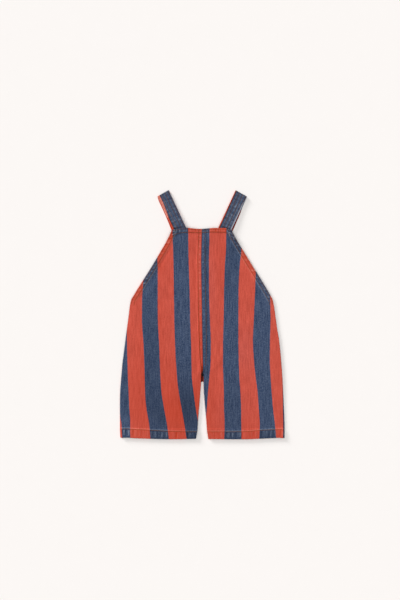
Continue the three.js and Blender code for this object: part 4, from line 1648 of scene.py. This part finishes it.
class OVERALLS_OT_stage(Operator):
    """Adds the pale floor, the soft light and the camera straight above."""

    bl_idname = "overalls.stage"
    bl_label = "Stage"

    def execute(self, context):
        stage = context.scene.overalls_stage
        around = np.array([[-1, -1], [1, -1], [1, 1], [-1, 1]]) * FLOOR_HALF
        corners = np.column_stack([around, np.full(4, -FLOOR_DROP)])
        floor = mesh_object("floor", corners, np.array([[0, 1, 2, 3]]))
        floor.data.materials.append(floor_material(stage, "pale_floor"))

        add_light("key_light", stage.sun, stage.sun_softness, (-stage.sun_tilt, 0.0, stage.sun_turn))
        add_light("overhead_light", stage.overhead, stage.overhead_softness, (0.0, 0.0, 0.0))

        world = bpy.data.worlds.new("even_light")
        world.use_nodes = True
        background = world.node_tree.nodes["Background"]
        background.inputs["Color"].default_value = (1.0, 0.99, 0.975, 1.0)
        background.inputs["Strength"].default_value = stage.sky
        context.scene.world = world

        camera = bpy.data.objects.new("camera", bpy.data.cameras.new("camera"))
        camera.data.sensor_width = 36.0
        camera.data.lens = camera.data.sensor_width * stage.camera_height / stage.frame_height
        camera.location = (stage.aim_x, stage.aim_y, stage.camera_height)
        context.scene.collection.objects.link(camera)
        context.scene.camera = camera
        context.scene.view_settings.view_transform = "Standard"
        return {"FINISHED"}


def add_cloth(context, build):
    """The left and the right piece of one kind, in the shared denim."""
    cloth = context.scene.overalls_cloth
    for side in (LEFT, RIGHT):
        item = build(cloth, side)
        item.data.materials.append(shared("striped_denim_cloth", denim_material, cloth))


class OVERALLS_OT_backs(Operator):
    """Adds the two back panels, which lie on the floor."""

    bl_idname = "overalls.backs"
    bl_label = "Backs"

    def execute(self, context):
        add_cloth(context, lambda cloth, side: build_panel(cloth, side, "back"))
        return {"FINISHED"}


class OVERALLS_OT_fronts(Operator):
    """Adds the two front panels, which lie on the backs and the strap feet."""

    bl_idname = "overalls.fronts"
    bl_label = "Fronts"

    def execute(self, context):
        add_cloth(context, lambda cloth, side: build_panel(cloth, side, "front"))
        return {"FINISHED"}


class OVERALLS_OT_straps(Operator):
    """Adds the two folded shoulder straps."""

    bl_idname = "overalls.straps"
    bl_label = "Straps"

    def execute(self, context):
        add_cloth(context, build_strap)
        return {"FINISHED"}


class OVERALLS_OT_topstitch(Operator):
    """Adds the stitch rows of the hems, the centre seams and the straps."""

    bl_idname = "overalls.topstitch"
    bl_label = "Topstitching"

    def execute(self, context):
        cloth = context.scene.overalls_cloth
        thread = context.scene.overalls_thread
        for number, side in enumerate((LEFT, RIGHT)):
            name = SIDE_NAMES[side]
            for layer in ("front", "back"):
                lines = panel_stitch_lines(cloth, side, layer)
                build_stitching(thread, f"{layer}_{name}_stitching", lines, layer == "back", 100 * number)
            lines = strap_stitch_lines(cloth, side)
            build_stitching(thread, f"strap_{name}_stitching", lines, False, 300 + 10 * number)
        return {"FINISHED"}


class OVERALLS_PT_sidebar(Panel):
    """Lists the steps that build the garment and its stage."""

    bl_label = "Bib Overalls"
    bl_space_type = "VIEW_3D"
    bl_region_type = "UI"
    bl_category = "Overalls"

    def draw(self, context):
        for step in STEPS:
            self.layout.operator(step.bl_idname)
        for group in ("overalls_cloth", "overalls_thread", "overalls_stage"):
            settings = getattr(context.scene, group)
            box = self.layout.box()
            for key in settings.__annotations__:
                box.prop(settings, key)


STEPS = (
    OVERALLS_OT_stage,
    OVERALLS_OT_backs,
    OVERALLS_OT_straps,
    OVERALLS_OT_fronts,
    OVERALLS_OT_topstitch,
)
SETTINGS = {
    "overalls_cloth": OverallsCloth,
    "overalls_thread": OverallsThread,
    "overalls_stage": OverallsStage,
}


def register():
    for item in (*SETTINGS.values(), *STEPS, OVERALLS_PT_sidebar):
        bpy.utils.register_class(item)
    for name, group in SETTINGS.items():
        setattr(bpy.types.Scene, name, PointerProperty(type=group))


def unregister():
    for name in SETTINGS:
        delattr(bpy.types.Scene, name)
    for item in (OVERALLS_PT_sidebar, *reversed(STEPS), *SETTINGS.values()):
        bpy.utils.unregister_class(item)


def main():
    register()
    bpy.ops.overalls.stage()
    bpy.ops.overalls.backs()
    bpy.ops.overalls.straps()
    bpy.ops.overalls.fronts()
    bpy.ops.overalls.topstitch()


if __name__ == "__main__":
    main()
